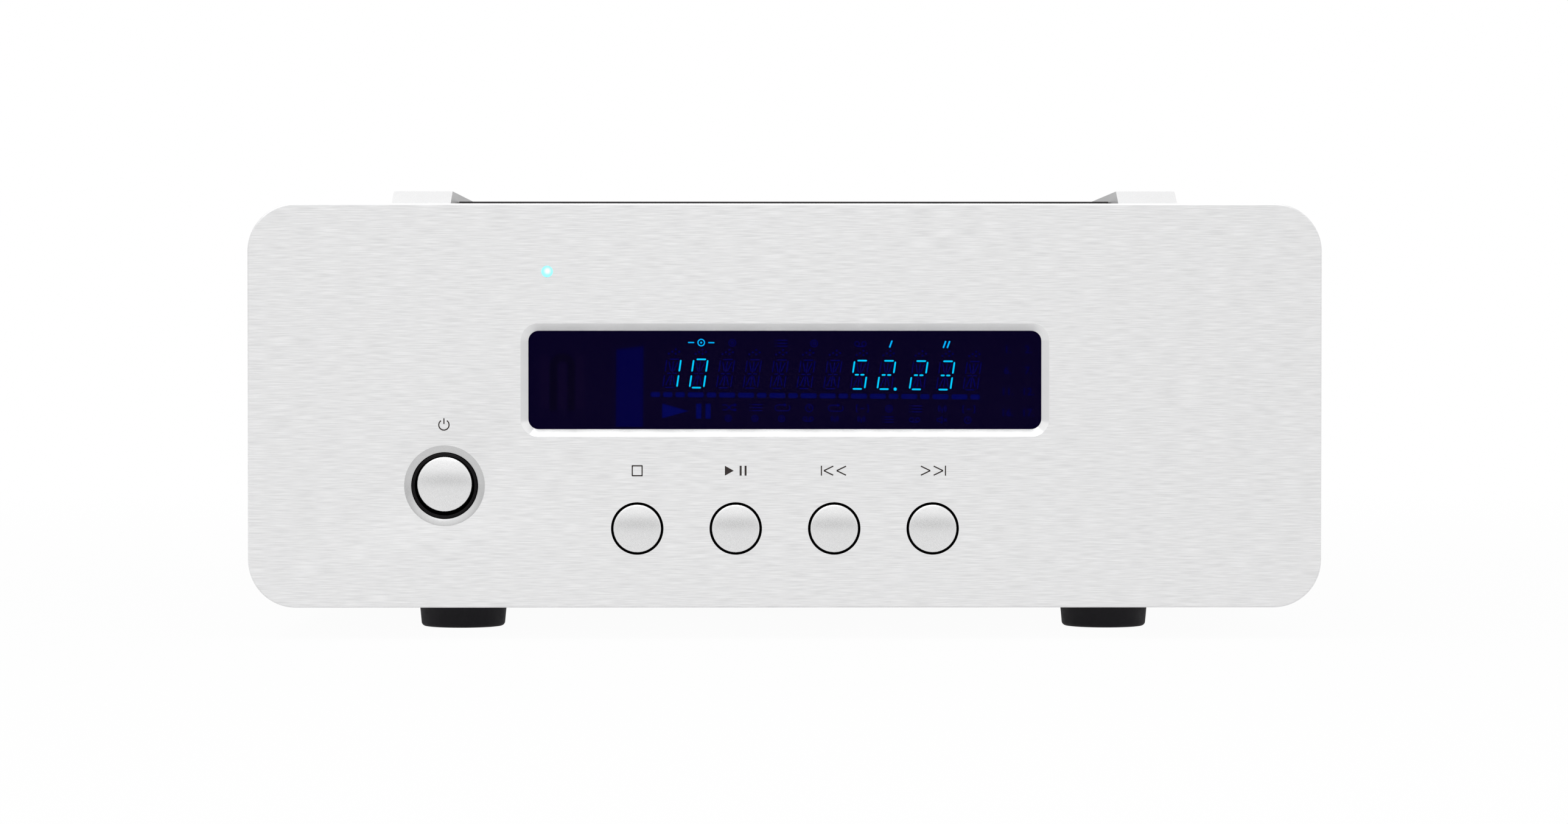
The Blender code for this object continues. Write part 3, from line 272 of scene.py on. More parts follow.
def rounded(width, height, corner, steps=12):
    """Outline of a rectangle with arcs for corners, about (0, 0)."""
    points = []
    for turn, (side, up) in enumerate(((1, 1), (-1, 1), (-1, -1), (1, -1))):
        for step in range(steps + 1):
            angle = (turn + step / steps) * math.pi / 2
            points.append((side * (width / 2 - corner) + corner * math.cos(angle),
                           up * (height / 2 - corner) + corner * math.sin(angle)))
    return points


def place_on(axis, u, v, along):
    """A point from two coordinates across an axis and one along it."""
    return {"X": (along, u, v), "Y": (u, along, v), "Z": (u, v, along)}[axis]


def finish_piece(name, mesh, centre, material, sharp=30):
    """Turn a bmesh into a smooth-shaded object at centre."""
    bmesh.ops.recalc_face_normals(mesh, faces=mesh.faces)
    data = bpy.data.meshes.new(name)
    mesh.to_mesh(data)
    mesh.free()
    if material:
        data.materials.append(material)
    data.shade_smooth()
    data.set_sharp_from_angle(angle=math.radians(sharp))
    piece = bpy.data.objects.new(name, data)
    piece.location = centre
    bpy.context.scene.collection.objects.link(piece)
    return piece


def loft(name, sections, centre, axis, material=None):
    """A solid through outlines of equal point count, each given as (place along axis, outline)."""
    mesh = bmesh.new()
    rings = [[mesh.verts.new(place_on(axis, u, v, along)) for u, v in outline] for along, outline in sections]
    for near, far in zip(rings, rings[1:]):
        for index in range(len(near)):
            after = (index + 1) % len(near)
            mesh.faces.new((near[index], near[after], far[after], far[index]))
    mesh.faces.new(rings[0])
    mesh.faces.new(rings[-1])
    return finish_piece(name, mesh, centre, material)


def turned(name, profile, centre, axis, material=None, steps=TURN_STEPS, loop=False, sharp=30):
    """A turned solid from pairs of (radius, place along axis); a loop leaves a bore."""
    mesh = bmesh.new()
    rings = []
    for radius, along in profile:
        if radius == 0:
            rings.append([mesh.verts.new(place_on(axis, 0, 0, along))])
            continue
        rings.append([mesh.verts.new(place_on(axis, radius * math.cos(math.tau * step / steps),
                                              radius * math.sin(math.tau * step / steps), along))
                      for step in range(steps)])
    pairs = list(zip(rings, rings[1:]))
    if loop:
        pairs.append((rings[-1], rings[0]))
    for near, far in pairs:
        for index in range(steps):
            after = (index + 1) % steps
            corners = [near[index % len(near)], near[after % len(near)],
                       far[after % len(far)], far[index % len(far)]]
            mesh.faces.new(list(dict.fromkeys(corners)))
    return finish_piece(name, mesh, centre, material, sharp)


def apply_modifiers(piece):
    """Bake a piece's modifiers into its mesh, so that its cutters can go."""
    graph = bpy.context.evaluated_depsgraph_get()
    baked = bpy.data.meshes.new_from_object(piece.evaluated_get(graph))
    piece.modifiers.clear()
    piece.data = baked


def cut(piece, *tools):
    """Cut tools out of piece and throw them away."""
    for tool in tools:
        modifier = piece.modifiers.new("cut", "BOOLEAN")
        modifier.operation = "DIFFERENCE"
        modifier.material_mode = "TRANSFER"
        modifier.object = tool
    apply_modifiers(piece)
    for tool in tools:
        bpy.data.objects.remove(tool, do_unlink=True)


def arc(centre, radius, start, end, steps=6):
    """Points of a circular arc, with angles in degrees."""
    return [(centre[0] + radius * math.cos(math.radians(start + (end - start) * step / steps)),
             centre[1] + radius * math.sin(math.radians(start + (end - start) * step / steps)))
            for step in range(steps + 1)]


print("helpers ready")

# %% [markdown]
# ## Brushed aluminium
# The front panel is drawn past an abrasive belt from side to side, so its scratches are long in X
# and very fine in Z. Noise stretched along X gives that grain. It drives a small bump and a slight
# change of roughness. A scanned texture would do it too, but it would repeat and would not scale.

# %% Metals
EVEN = (1, 1, 1)


def grain(tree, stretch, scale):
    """Noise stretched along one axis, read in the object's own metres."""
    place = add_node(tree, "TexCoord")
    squeeze = add_node(tree, "Mapping")
    squeeze.inputs["Scale"].default_value = stretch
    noise = add_node(tree, "TexNoise")
    noise.inputs["Scale"].default_value = scale
    noise.inputs["Detail"].default_value = 6.0
    tree.links.new(place.outputs["Object"], squeeze.inputs["Vector"])
    tree.links.new(squeeze.outputs[0], noise.inputs["Vector"])
    return noise.outputs["Fac"]


def spread(tree, source, low, high, before=(0.3, 0.7)):
    """Map a noise value onto a range."""
    scale = add_node(tree, "MapRange")
    for socket, value in zip(("From Min", "From Max", "To Min", "To Max"), (*before, low, high)):
        scale.inputs[socket].default_value = value
    tree.links.new(source, scale.inputs["Value"])
    return scale.outputs["Result"]


def shade_range(tree, source, dark, light, before=(0.3, 0.7)):
    """Mix two colours by a noise value."""
    ramp = add_node(tree, "ValToRGB")
    ramp.color_ramp.elements[0].position = before[0]
    ramp.color_ramp.elements[0].color = (*dark, 1)
    ramp.color_ramp.elements[1].position = before[1]
    ramp.color_ramp.elements[1].color = (*light, 1)
    tree.links.new(source, ramp.inputs["Fac"])
    return ramp.outputs["Color"]


def bump(tree, shader, source, strength, distance):
    """Let a noise value raise the surface."""
    node = add_node(tree, "Bump")
    node.inputs["Strength"].default_value = strength
    node.inputs["Distance"].default_value = distance
    tree.links.new(source, node.inputs["Height"])
    tree.links.new(node.outputs[0], shader.inputs["Normal"])


def metal(name, stretch, scale, dark, light, roughness, strength, distance):
    """A metal whose grain changes its tone, its roughness and its height a little."""
    material, tree, shader = new_material(name)
    fine = grain(tree, stretch, scale)
    shader.inputs["Metallic"].default_value = 1.0
    tree.links.new(shade_range(tree, fine, dark, light), shader.inputs["Base Color"])
    tree.links.new(spread(tree, fine, *roughness), shader.inputs["Roughness"])
    bump(tree, shader, fine, strength, distance)
    return material


def grey(level):
    """A neutral colour."""
    return (level, level, level * 1.004)


def brushed(name, stretch, dark, light, around, pull):
    """Metal drawn past a belt: fine scratches one way, and reflections that spread across them."""
    material = metal(name, stretch, 1.0, dark, light, (0.36, 0.44), 0.06, 0.00001)
    tree = material.node_tree
    shader = tree.nodes["Principled BSDF"]
    shader.inputs["Anisotropic"].default_value = pull
    across = add_node(tree, "Tangent", direction_type="RADIAL", axis=around)
    tree.links.new(across.outputs[0], shader.inputs["Tangent"])
    return material


BRUSHED = brushed("brushed_aluminium", (200, 3000, 5200), grey(0.81), grey(0.99), "X", 0.8)
RAIL_METAL = brushed("rail_aluminium", (6500, 300, 6500), grey(0.80), grey(0.86), "Y", 0.1)
BLASTED = metal("blasted_aluminium", EVEN, 5200, grey(0.80), grey(0.92), (0.24, 0.32), 0.20, 0.000012)
BRIGHT_CUT = metal("bright_cut_aluminium", (200, 200, 200), 1.0, grey(0.91), grey(0.96), (0.14, 0.20),
                   0.03, 0.00001)
SATIN_CUT = metal("satin_cut_aluminium", EVEN, 2500, grey(0.64), grey(0.68), (0.26, 0.32), 0.02, 0.00001)
ZINC = metal("zinc_plated_steel", EVEN, 260, grey(0.52), grey(0.66), (0.28, 0.42), 0.05, 0.00005)
SCREW_STEEL = metal("bright_screw", EVEN, 900, grey(0.55), grey(0.68), (0.22, 0.34), 0.05, 0.00002)
GOLD = metal("gold_plate", EVEN, 700, (0.80, 0.56, 0.20), (0.88, 0.66, 0.28), (0.16, 0.26), 0.04, 0.00002)
print("metals ready")

# %% [markdown]
# ## Paint, plastics, rubber and glass
# The case behind the panel is steel with a fine textured paint, and the moulded parts have a spark
# finish from their tools. Both are a fine cell pattern that only shows as a softened highlight. The
# lid is polished acrylic, so it gets almost no texture and a sharp reflection.

# %% Paints and plastics
def coated(name, dark, light, scale, roughness, strength, distance, specular=0.5):
    """A non-metal with a fine even texture."""
    material, tree, shader = new_material(name)
    fine = grain(tree, EVEN, scale)
    shader.inputs["Specular IOR Level"].default_value = specular
    tree.links.new(shade_range(tree, fine, dark, light), shader.inputs["Base Color"])
    tree.links.new(spread(tree, fine, *roughness), shader.inputs["Roughness"])
    bump(tree, shader, fine, strength, distance)
    return material


CASE_PAINT = coated("silver_case_paint", (0.52, 0.525, 0.53), (0.60, 0.605, 0.61), 1900, (0.38, 0.52),
                    0.25, 0.0001)
BLACK_MOULDED = coated("black_moulding", (0.018, 0.018, 0.020), (0.030, 0.030, 0.033), 1500, (0.40, 0.55),
                       0.2, 0.00006)
GLOSS_BLACK = coated("gloss_black", (0.010, 0.010, 0.012), (0.016, 0.016, 0.018), 400, (0.10, 0.18), 0.02,
                     0.00003)
# The collar is black moulding, but this tone is darker than the black moulding below and reflects little:
# part of it is painted shade for the gap round the power button.
COLLAR_BLACK_AND_GAP_SHADE = coated("collar_black_and_gap_shade", (0.004, 0.003, 0.004), (0.007, 0.006, 0.007), 900, (0.14, 0.24),
                      0.02, 0.00003, 0.12)
FOOT_RUBBER = coated("foot_rubber", (0.014, 0.013, 0.016), (0.024, 0.022, 0.027), 900, (0.55, 0.75), 0.25,
                     0.0001, 0.3)
SMOKED_LID = coated("smoked_lid", (0.012, 0.010, 0.011), (0.016, 0.013, 0.014), 30, (0.03, 0.06), 0.01,
                    0.00005)
BOARD_GREEN = coated("board_lacquer", (0.02, 0.13, 0.06), (0.03, 0.18, 0.08), 300, (0.25, 0.40), 0.1, 0.00005)
NATURAL_WHITE = coated("natural_moulding", (0.72, 0.71, 0.67), (0.80, 0.79, 0.75), 700, (0.35, 0.5), 0.1,
                       0.00005)
WINDING_TAPE = coated("winding_tape", (0.45, 0.33, 0.06), (0.60, 0.46, 0.10), 160, (0.35, 0.55), 0.3, 0.0002)
# Near-black painted shade, not a finish: it stands for the shade in the gaps round the keys, on the walls of
# the panel's key holes and on the aluminium caps' sides behind their skirts.
PAINTED_GAP_SHADE = coated("painted_gap_shade", (0.004, 0.003, 0.004), (0.007, 0.006, 0.007), 1500, (0.6, 0.8), 0.1,
                    0.00005, 0.1)
MARK_INK = coated("mark_ink", (0.030, 0.022, 0.020), (0.045, 0.035, 0.032), 2500, (0.5, 0.6), 0.1, 0.00001,
                  0.3)


def lamp_and_painted_glow_material(name, color, strength=1.0, body=(0, 0, 0)):
    """A surface that gives its own light, for the lamps and for the painted glow on unlit display parts."""
    material, tree, shader = new_material(name)
    shader.inputs["Base Color"].default_value = (*body, 1)
    shader.inputs["Roughness"].default_value = 0.4
    shader.inputs["Specular IOR Level"].default_value = 0.0
    weaker = tuple(0.94 * part for part in color)
    glow = shade_range(tree, grain(tree, EVEN, 2500), weaker, color)
    tree.links.new(glow, shader.inputs["Emission Color"])
    shader.inputs["Emission Strength"].default_value = strength
    material.cycles.emission_sampling = "NONE"
    return material


CLEAR_SHARE = 0.80


def window_glass():
    """Smoked window: lets the display through and hides the workings behind it."""
    material, tree, shader = new_material("smoked_window")
    shader.inputs["Base Color"].default_value = (0.005, 0.003, 0.008, 1)
    tree.links.new(spread(tree, grain(tree, EVEN, 900), 0.02, 0.05), shader.inputs["Roughness"])
    shader.inputs["Specular IOR Level"].default_value = 0.05
    clear = add_node(tree, "BsdfTransparent")
    clear.inputs["Color"].default_value = (0.82, 0.84, 0.92, 1)
    mixed = blend(tree, CLEAR_SHARE, shader.outputs[0], clear.outputs[0])
    tree.links.new(mixed, tree.nodes["Material Output"].inputs[0])
    return material


SMOKED_WINDOW = window_glass()
print("paints, plastics and glass ready")

# %% [markdown]
# ## Front panel
# On the real player this is one 8 mm slab. A router cuts the window with a 45 degree edge, drills the
# key holes and turns a shallow dish round the power button. We cut the same shapes from a rounded
# slab. Modelling the face as flat with a painted edge would lose the bright bevel, and the bevel
# tells the eye that the slab is thick.

# %% Front panel
PANEL_CORNER = 0.0097
PANEL_BREAK = 0.0003
KEY_NAMES = ("stop_button", "play_button", "previous_button", "next_button")
KEY_CAP = 0.00487
KEY_HOLE = 0.00527
WINDOW_SIZE = (0.1043, 0.0200)
WINDOW_CORNER = 0.0021
WINDOW_BEVEL = 0.0015
POWER_CAP = 0.00562
POWER_CAP_LIFT = 0.0003
DISH_RADIUS = 0.00819
DISH_DEPTH = 0.00042
COLLAR_RADIUS = 0.00679
POCKET = 0.0055
LAMP_HOLE = 0.00116
power = middle("power_collar")
lamp = middle("lamp_lens")


def panel_slab():
    """The slab, with a small broken edge all round its face and back."""
    sections = []
    for along, inset in ((0, PANEL_BREAK), (0.3 * PANEL_BREAK, 0.3 * PANEL_BREAK), (PANEL_BREAK, 0),
                         (PANEL_THICK - PANEL_BREAK, 0), (PANEL_THICK, PANEL_BREAK)):
        sections.append((along, rounded(PANEL_WIDTH - 2 * inset, PANEL_HEIGHT - 2 * inset,
                                        PANEL_CORNER - inset, 24)))
    return loft("front_panel_slab", sections, (0, FACE_Y, PANEL_BASE + PANEL_HEIGHT / 2), "Y", BRUSHED)


def window_cutter():
    """Bevelled opening, with a wider seat for the window at the back."""
    width, height = WINDOW_SIZE
    edge = WINDOW_BEVEL
    over = 0.0003
    wide = rounded(width + 2 * (edge + over), height + 2 * (edge + over), WINDOW_CORNER + edge + over)
    opening = rounded(width, height, WINDOW_CORNER)
    seat_width = WINDOW_HIGH[0] - WINDOW_LOW[0] + 0.0006
    seat_height = WINDOW_HIGH[2] - WINDOW_LOW[2] + 0.0006
    seat = rounded(seat_width, seat_height, WINDOW_CORNER)
    shoulder = WINDOW_LOW[1] - FACE_Y - 0.0003
    return loft("window_cutter", [(-over, wide), (edge, opening), (shoulder, opening), (shoulder, seat),
                                  (2 * PANEL_THICK, seat)], (0, FACE_Y, WINDOW_Z), "Y", BRIGHT_CUT)


def key_cutter(name):
    """Key hole with a tiny countersink and the flange's pocket behind; its walls get a near-black painted
    shade.
    """
    centre = middle(name)
    low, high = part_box(name)
    flange = (high[0] - low[0]) / 2 + 0.0006
    profile = [(0, -0.001), (KEY_HOLE + 0.0011, -0.001), (KEY_HOLE, 0.00006), (KEY_HOLE, POCKET),
               (flange, POCKET), (flange, 2 * PANEL_THICK), (0, 2 * PANEL_THICK)]
    return turned(name + "_cutter", profile, (centre.x, FACE_Y, centre.z), "Y", PAINTED_GAP_SHADE)


def dish_cutter():
    """Shallow dish round the power button, then the collar's hole and pocket."""
    over = 0.0003
    slope = [(DISH_RADIUS + 4 * over, -over)]
    steps = 8
    for step in range(steps + 1):
        inward = step / steps
        slope.append((DISH_RADIUS - (DISH_RADIUS - COLLAR_RADIUS) * inward,
                      DISH_DEPTH * (0.5 * inward + 0.5 * inward ** 2)))
    collar_low, collar_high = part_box("power_collar")
    flange = (collar_high[0] - collar_low[0]) / 2 + 0.0003
    profile = [(0, -over), *slope, (COLLAR_RADIUS, POCKET), (flange, POCKET), (flange, 2 * PANEL_THICK),
               (0, 2 * PANEL_THICK)]
    return turned("dish_cutter", profile, (power.x, FACE_Y, power.z), "Y", SATIN_CUT)


def lamp_cutter():
    """Plain hole for the lamp's lens."""
    profile = [(0, -0.001), (LAMP_HOLE, -0.001), (LAMP_HOLE, 2 * PANEL_THICK), (0, 2 * PANEL_THICK)]
    return turned("lamp_cutter", profile, (lamp.x, FACE_Y, lamp.z), "Y", BRIGHT_CUT, steps=32)


panel = panel_slab()
cut(panel, window_cutter(), *[key_cutter(name) for name in KEY_NAMES], dish_cutter(), lamp_cutter())
panel.data.set_sharp_from_angle(angle=math.radians(12))
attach(panel, "case")
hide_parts("front_panel")
print("front panel:", len(panel.data.polygons), "faces")

# %% [markdown]
# ## Round keys
# Each key is a turned and bead-blasted cap with a slightly domed front, and its rim is rounded where
# it meets the dark gap. A sphere cut flat would bulge too much. A long arc with a small rim radius
# gives the soft band of tone that a blasted cap shows. The side is bright only as far as it can be
# seen, which is further on the power button because it stands out when it is off. Behind that, the
# aluminium side is painted near-black as painted shade for the gap round the cap, and so are the
# walls of the four key holes in the panel.

# %% Keys and power button
KEY_SKIRT = 0.0012
POWER_SKIRT = 0.0032
FLANGE_THICK = 0.001
SKIRT_STEP = 0.00005
STEM_RADIUS = 0.0015
KEY_STEM = 0.0052
POWER_STEM = 0.0025


def domed_cap(radius, crown_y, sagitta, rim):
    """Profile of a cap: a shallow arc and a rounded rim, up to where the side starts."""
    flat = radius - rim
    bend = (flat ** 2 + sagitta ** 2) / (2 * sagitta)
    steps = 14
    points = [(0, crown_y)]
    for step in range(1, steps + 1):
        across = flat * step / steps
        points.append((across, crown_y + bend - math.sqrt(bend ** 2 - across ** 2)))
    start = math.degrees(math.asin(flat / bend))
    low = points[-1]
    centre = (low[0] - rim * math.sin(math.radians(start)), low[1] + rim * math.cos(math.radians(start)))
    for step in range(1, 7):
        angle = math.radians(start + (90 - start) * step / 6)
        points.append((centre[0] + rim * math.sin(angle), centre[1] - rim * math.cos(angle)))
    return points


def stepped_button(name, radius, sagitta, rim, skirt, body, lift=0.0):
    """A cap in front of the flange and stem that the CAD gives it."""
    low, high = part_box(name)
    centre = middle(name)
    crown = low[1] - FACE_Y
    front = domed_cap(radius, crown, sagitta, rim)
    flange = (high[0] - low[0]) / 2
    flange_y = high[1] - FACE_Y - (POWER_STEM if name == "power_button" else KEY_STEM)
    scale = radius / front[-1][0]
    profile = [(across * scale, along) for across, along in front]
    profile += [(radius, crown + skirt), (radius - SKIRT_STEP, crown + skirt + 0.0001),
                (radius - SKIRT_STEP, flange_y - FLANGE_THICK), (flange, flange_y - FLANGE_THICK),
                (flange, flange_y), (STEM_RADIUS, flange_y), (STEM_RADIUS, high[1] - FACE_Y),
                (0, high[1] - FACE_Y)]
    piece = turned(name + "_cap", profile, (centre.x, FACE_Y, centre.z + lift), "Y", BLASTED, sharp=40)
    # The cap is aluminium all through; its side behind the skirt gets this second material, a near-black
    # painted shade for the gap round the cap.
    piece.data.materials.append(PAINTED_GAP_SHADE)
    for face in piece.data.polygons:
        if face.center.y > crown + skirt:
            face.material_index = 1
    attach(piece, body)
    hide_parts(name)


for key in KEY_NAMES:
    stepped_button(key, KEY_CAP, 0.00065, 0.0004, KEY_SKIRT, key.replace("button", "key"))
stepped_button("power_button", POWER_CAP, 0.0009, 0.0005, POWER_SKIRT, "power_key", POWER_CAP_LIFT)
print("five turned caps")

# %% [markdown]
# ## Collar and lamp
# A black collar lines the dish, so that the power button reads as a ring within a ring. Its near-black
# tone is partly the black moulding and partly painted shade for the gap round the button. The lamp is
# the polished end of a clear light pipe, which glows pale cyan and shades off towards its rim.

# %% Collar and lamp
def collar_ring():
    """Black ring round the power button, with a rounded lip; its near-black tone also paints the gap's shade.
    """
    low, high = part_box("power_collar")
    end = high[1] - FACE_Y
    flange = (high[0] - low[0]) / 2
    start = DISH_DEPTH * 0.3
    inner, outer, lip, step = 0.00605, 0.00660, 0.00018, 0.0058
    profile = [(inner, start + lip), (inner + lip, start), (outer - lip, start), (outer, start + lip),
               (outer, step), (flange, step), (flange, end), (inner, end)]
    ring = turned("collar_ring", profile, (power.x, FACE_Y, power.z), "Y", COLLAR_BLACK_AND_GAP_SHADE, loop=True)
    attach(ring, "case")
    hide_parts("power_collar")


def glowing_lens():
    """Pale cyan glow with a white heart, as a lamp behind a frosted dome shows."""
    material = lamp_and_painted_glow_material("lamp_glow", (0.13, 0.86, 1.0), 1.0, (0.2, 0.4, 0.45))
    tree = material.node_tree
    shader = tree.nodes["Principled BSDF"]
    place = add_node(tree, "TexCoord")
    away = add_node(tree, "VectorMath", operation="DISTANCE")
    away.inputs[1].default_value = (0.0001, -0.0004, 0.0001)
    tree.links.new(place.outputs["Object"], away.inputs[0])
    outward = spread(tree, away.outputs["Value"], 0, 1, (0.0, 0.0012))
    glow = shade_range(tree, outward, (0.92, 1.0, 1.0), (0.26, 0.92, 1.0), (0.20, 0.70))
    tree.links.new(glow, shader.inputs["Emission Color"])
    return material


def lamp_end():
    """Lit dome at the end of the light pipe."""
    low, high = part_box("lamp_lens")
    radius = (high[0] - low[0]) / 2
    profile = [(0, -0.40 * radius)]
    for step in range(1, 7):
        turn = step / 6 * math.pi / 2
        profile.append((radius * math.sin(turn), -0.40 * radius * math.cos(turn)))
    profile += [(radius, high[1] - FACE_Y), (0, high[1] - FACE_Y)]
    piece = turned("lamp_dome", profile, (lamp.x, FACE_Y, lamp.z), "Y", glowing_lens(), steps=40)
    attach(piece, "case")
    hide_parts("lamp_lens")


collar_ring()
lamp_end()
print("collar and lamp")

# %% [markdown]
# ## Flat shapes for print and display
# Marks on the panel are screen printed, and the display's segments are phosphor printed on glass.
# Both are flat shapes a few hundredths of a millimetre thick. We collect many small outlines into
# one thin solid for each ink, which keeps them crisp at any distance, as a texture would not.

# %% Collect outlines into thin solids
def bar_outline(start, end, width, taper=0.0):
    """A bar between two points, with pointed ends if taper is given."""
    run = Vector(end) - Vector(start)
    along = run.normalized()
    side = Vector((-along.y, along.x)) * width / 2
    first, last = Vector(start), Vector(end)
    if taper == 0:
        return [tuple(corner) for corner in (first - side, last - side, last + side, first + side)]
    near, far = first + along * taper, last - along * taper
    return [tuple(corner) for corner in (first, near - side, far - side, last, far + side, near + side)]


def disc_outline(centre, radius, steps=14):
    """A filled circle."""
    return [(centre[0] + radius * math.cos(math.tau * step / steps),
             centre[1] + radius * math.sin(math.tau * step / steps)) for step in range(steps)]


def ring_outlines(centre, radius, width, start=0.0, sweep=360.0, steps=24):
    """A ring or part of one, as short pieces."""
    pieces = []
    for step in range(steps):
        low = math.radians(start + sweep * step / steps)
        high = math.radians(start + sweep * (step + 1) / steps)
        corners = [(radius - width / 2, low), (radius + width / 2, low), (radius + width / 2, high),
                   (radius - width / 2, high)]
        pieces.append([(centre[0] + reach * math.cos(turn), centre[1] + reach * math.sin(turn))
                       for reach, turn in corners])
    return pieces


def printed(name, outlines, plane_y, thick, material, body="case"):
    """Flat outlines in X and Z, made into one thin piece whose front is at plane_y."""
    mesh = bmesh.new()
    for outline in outlines:
        front = [mesh.verts.new((x, plane_y, z)) for x, z in outline]
        back = [mesh.verts.new((x, plane_y + thick, z)) for x, z in outline]
        mesh.faces.new(front)
        mesh.faces.new(back)
        for index in range(len(front)):
            after = (index + 1) % len(front)
            mesh.faces.new((front[index], front[after], back[after], back[index]))
    piece = finish_piece(name, mesh, (0, 0, 0), material)
    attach(piece, body)


def moved(outlines, x, z, scale=1.0):
    """Outlines moved to a place, and scaled about it."""
    return [[(x + u * scale, z + v * scale) for u, v in outline] for outline in outlines]


print("print helpers ready")

# %% [markdown]
# ## Marks on the panel
# Each control needs a mark that people know without a language. Words would tie the part to one
# maker, so we print the standard signs: a broken ring with a bar for power, a square for stop, a
# triangle with two bars for play and pause, and double arrows with a bar for the skips.

# %% Printed signs
INK_THICK = 0.00004
LABEL_Z = PANEL_BASE + 0.0278
SIGN_HEIGHT = 0.0020
MARK_LINE = 0.00024


def power_sign():
    """Open ring with an upright bar."""
    bar = bar_outline((0, 0.0002), (0, 0.00135), MARK_LINE)
    return ring_outlines((0, 0), 0.00105, MARK_LINE, 125, 290) + [bar]


def stop_sign():
    """Hollow square."""
    half, line = SIGN_HEIGHT / 2, MARK_LINE
    corners = [(-half, -half), (half, -half), (half, half), (-half, half)]
    return [bar_outline(a, b, line) for a, b in zip(corners, corners[1:] + corners[:1])] + [
        disc_outline(corner, line / 2, 8) for corner in corners]


def play_pause_sign():
    """Triangle, then two bars."""
    half = SIGN_HEIGHT / 2
    triangle = [(-0.0022, -half), (-0.0022, half), (-0.0004, 0)]
    return [triangle, bar_outline((0.0010, -half), (0.0010, half), 0.0004),
            bar_outline((0.0020, -half), (0.0020, half), 0.0004)]


def skip_sign(way):
    """Bar and two chevrons; way is -1 for back and 1 for on."""
    half, line = SIGN_HEIGHT * 0.46, MARK_LINE
    signs = [bar_outline((way * 0.0026, -half * 1.1), (way * 0.0026, half * 1.1), line)]
    for start in (-0.0024, 0.0002):
        tip = (way * (start + 0.0019), 0)
        signs.append(bar_outline((way * start, half), tip, line))
        signs.append(bar_outline((way * start, -half), tip, line))
    return signs


marks = moved(power_sign(), power.x - 0.0001, PANEL_BASE + 0.0371)
for key, sign in zip(KEY_NAMES, (stop_sign(), play_pause_sign(), skip_sign(-1), skip_sign(1))):
    marks += moved(sign, middle(key).x, LABEL_Z)
printed("panel_marks", marks, FACE_Y - INK_THICK, INK_THICK, MARK_INK)
print("marks:", len(marks), "outlines")

# %% [markdown]
# ## Display
# Behind the smoked window stands a fluorescent tube: a flat glass box with phosphor printed on a dark
# plate. Lit segments glow cyan. The unlit ones still show as dark blue ghosts, since the phosphor
# catches stray light; here that stray light is painted on as a faint glow of their own, and the plate,
# the blue band, the getter bands and the arch glow faintly in the same way, as painted light. We print
# the ghosts of every digit place first and lay the lit segments on top.

# %% Display layout
TUBE_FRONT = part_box("display_tube")[0][1]
PLATE_Y = WINDOW_HIGH[1] + 0.0006
DEPTH_SPREAD = 1.0079
DISPLAY_TILT = math.radians(0.45)
DIGIT_HEIGHT = 0.0061
DIGIT_WIDTH = 0.00285
DIGIT_PITCH = 0.00544
DIGIT_SLANT = math.tan(math.radians(8))
DIGIT_BASE = -0.00192
FIRST_DIGIT = -0.0229
SECONDS_SHIFT = 0.0011
DIGIT_PLACES = 12
H, W = DIGIT_HEIGHT, DIGIT_WIDTH / 2

SEGMENTS = {
    "a": ((-0.0009, H - 0.00018), (0.0011, H - 0.00018)),
    "d": ((-0.0010, 0.00018), (0.0009, 0.00018)),
    "g": ((-0.0010, H / 2), (-0.00012, H / 2)),
    "k": ((0.00012, H / 2), (0.0010, H / 2)),
    "f": ((-W, H / 2 + 0.00035), (-W, H - 0.0003)),
    "b": ((W, H / 2 + 0.00035), (W, H - 0.0003)),
    "e": ((-W, 0.0003), (-W, H / 2 - 0.00035)),
    "c": ((W, 0.0003), (W, H / 2 - 0.00035)),
}
GHOST_EXTRA = (((0, H / 2 + 0.0003), (0, H - 0.0006)), ((0, 0.0006), (0, H / 2 - 0.0003)),
               ((-0.0009, H - 0.0007), (-0.0003, H / 2 + 0.0005)),
               ((0.0009, H - 0.0007), (0.0003, H / 2 + 0.0005)),
               ((-0.0009, 0.0007), (-0.0003, H / 2 - 0.0005)),
               ((0.0009, 0.0007), (0.0003, H / 2 - 0.0005)))
GLYPHS = {"0": "abcdef", "1": "bc", "2": "abgked", "3": "abgkcd", "5": "afgkcd"}
SHOWN = {0: "1", 1: "0", 7: "5", 8: "2", 9: "2", 10: "3"}


def digit_x(place):
    """Middle of a digit place."""
    return FIRST_DIGIT + DIGIT_PITCH * place + (SECONDS_SHIFT if place > 8 else 0)


def slanted(outlines):
    """Lean outlines to the right, as the digits do."""
    return [[(u + v * DIGIT_SLANT - DIGIT_HEIGHT / 2 * DIGIT_SLANT, v) for u, v in outline]
            for outline in outlines]


def segment(name, width):
    """One segment's bar with pointed ends."""
    start, end = SEGMENTS[name]
    return bar_outline(start, end, width, width * 0.5)


def on_plate(outlines):
    """Place display outlines about the window's middle, on a plate that hangs a little askew."""
    return [[((u + v * DISPLAY_TILT) * DEPTH_SPREAD, WINDOW_Z + (v - u * DISPLAY_TILT) * DEPTH_SPREAD)
             for u, v in outline] for outline in outlines]


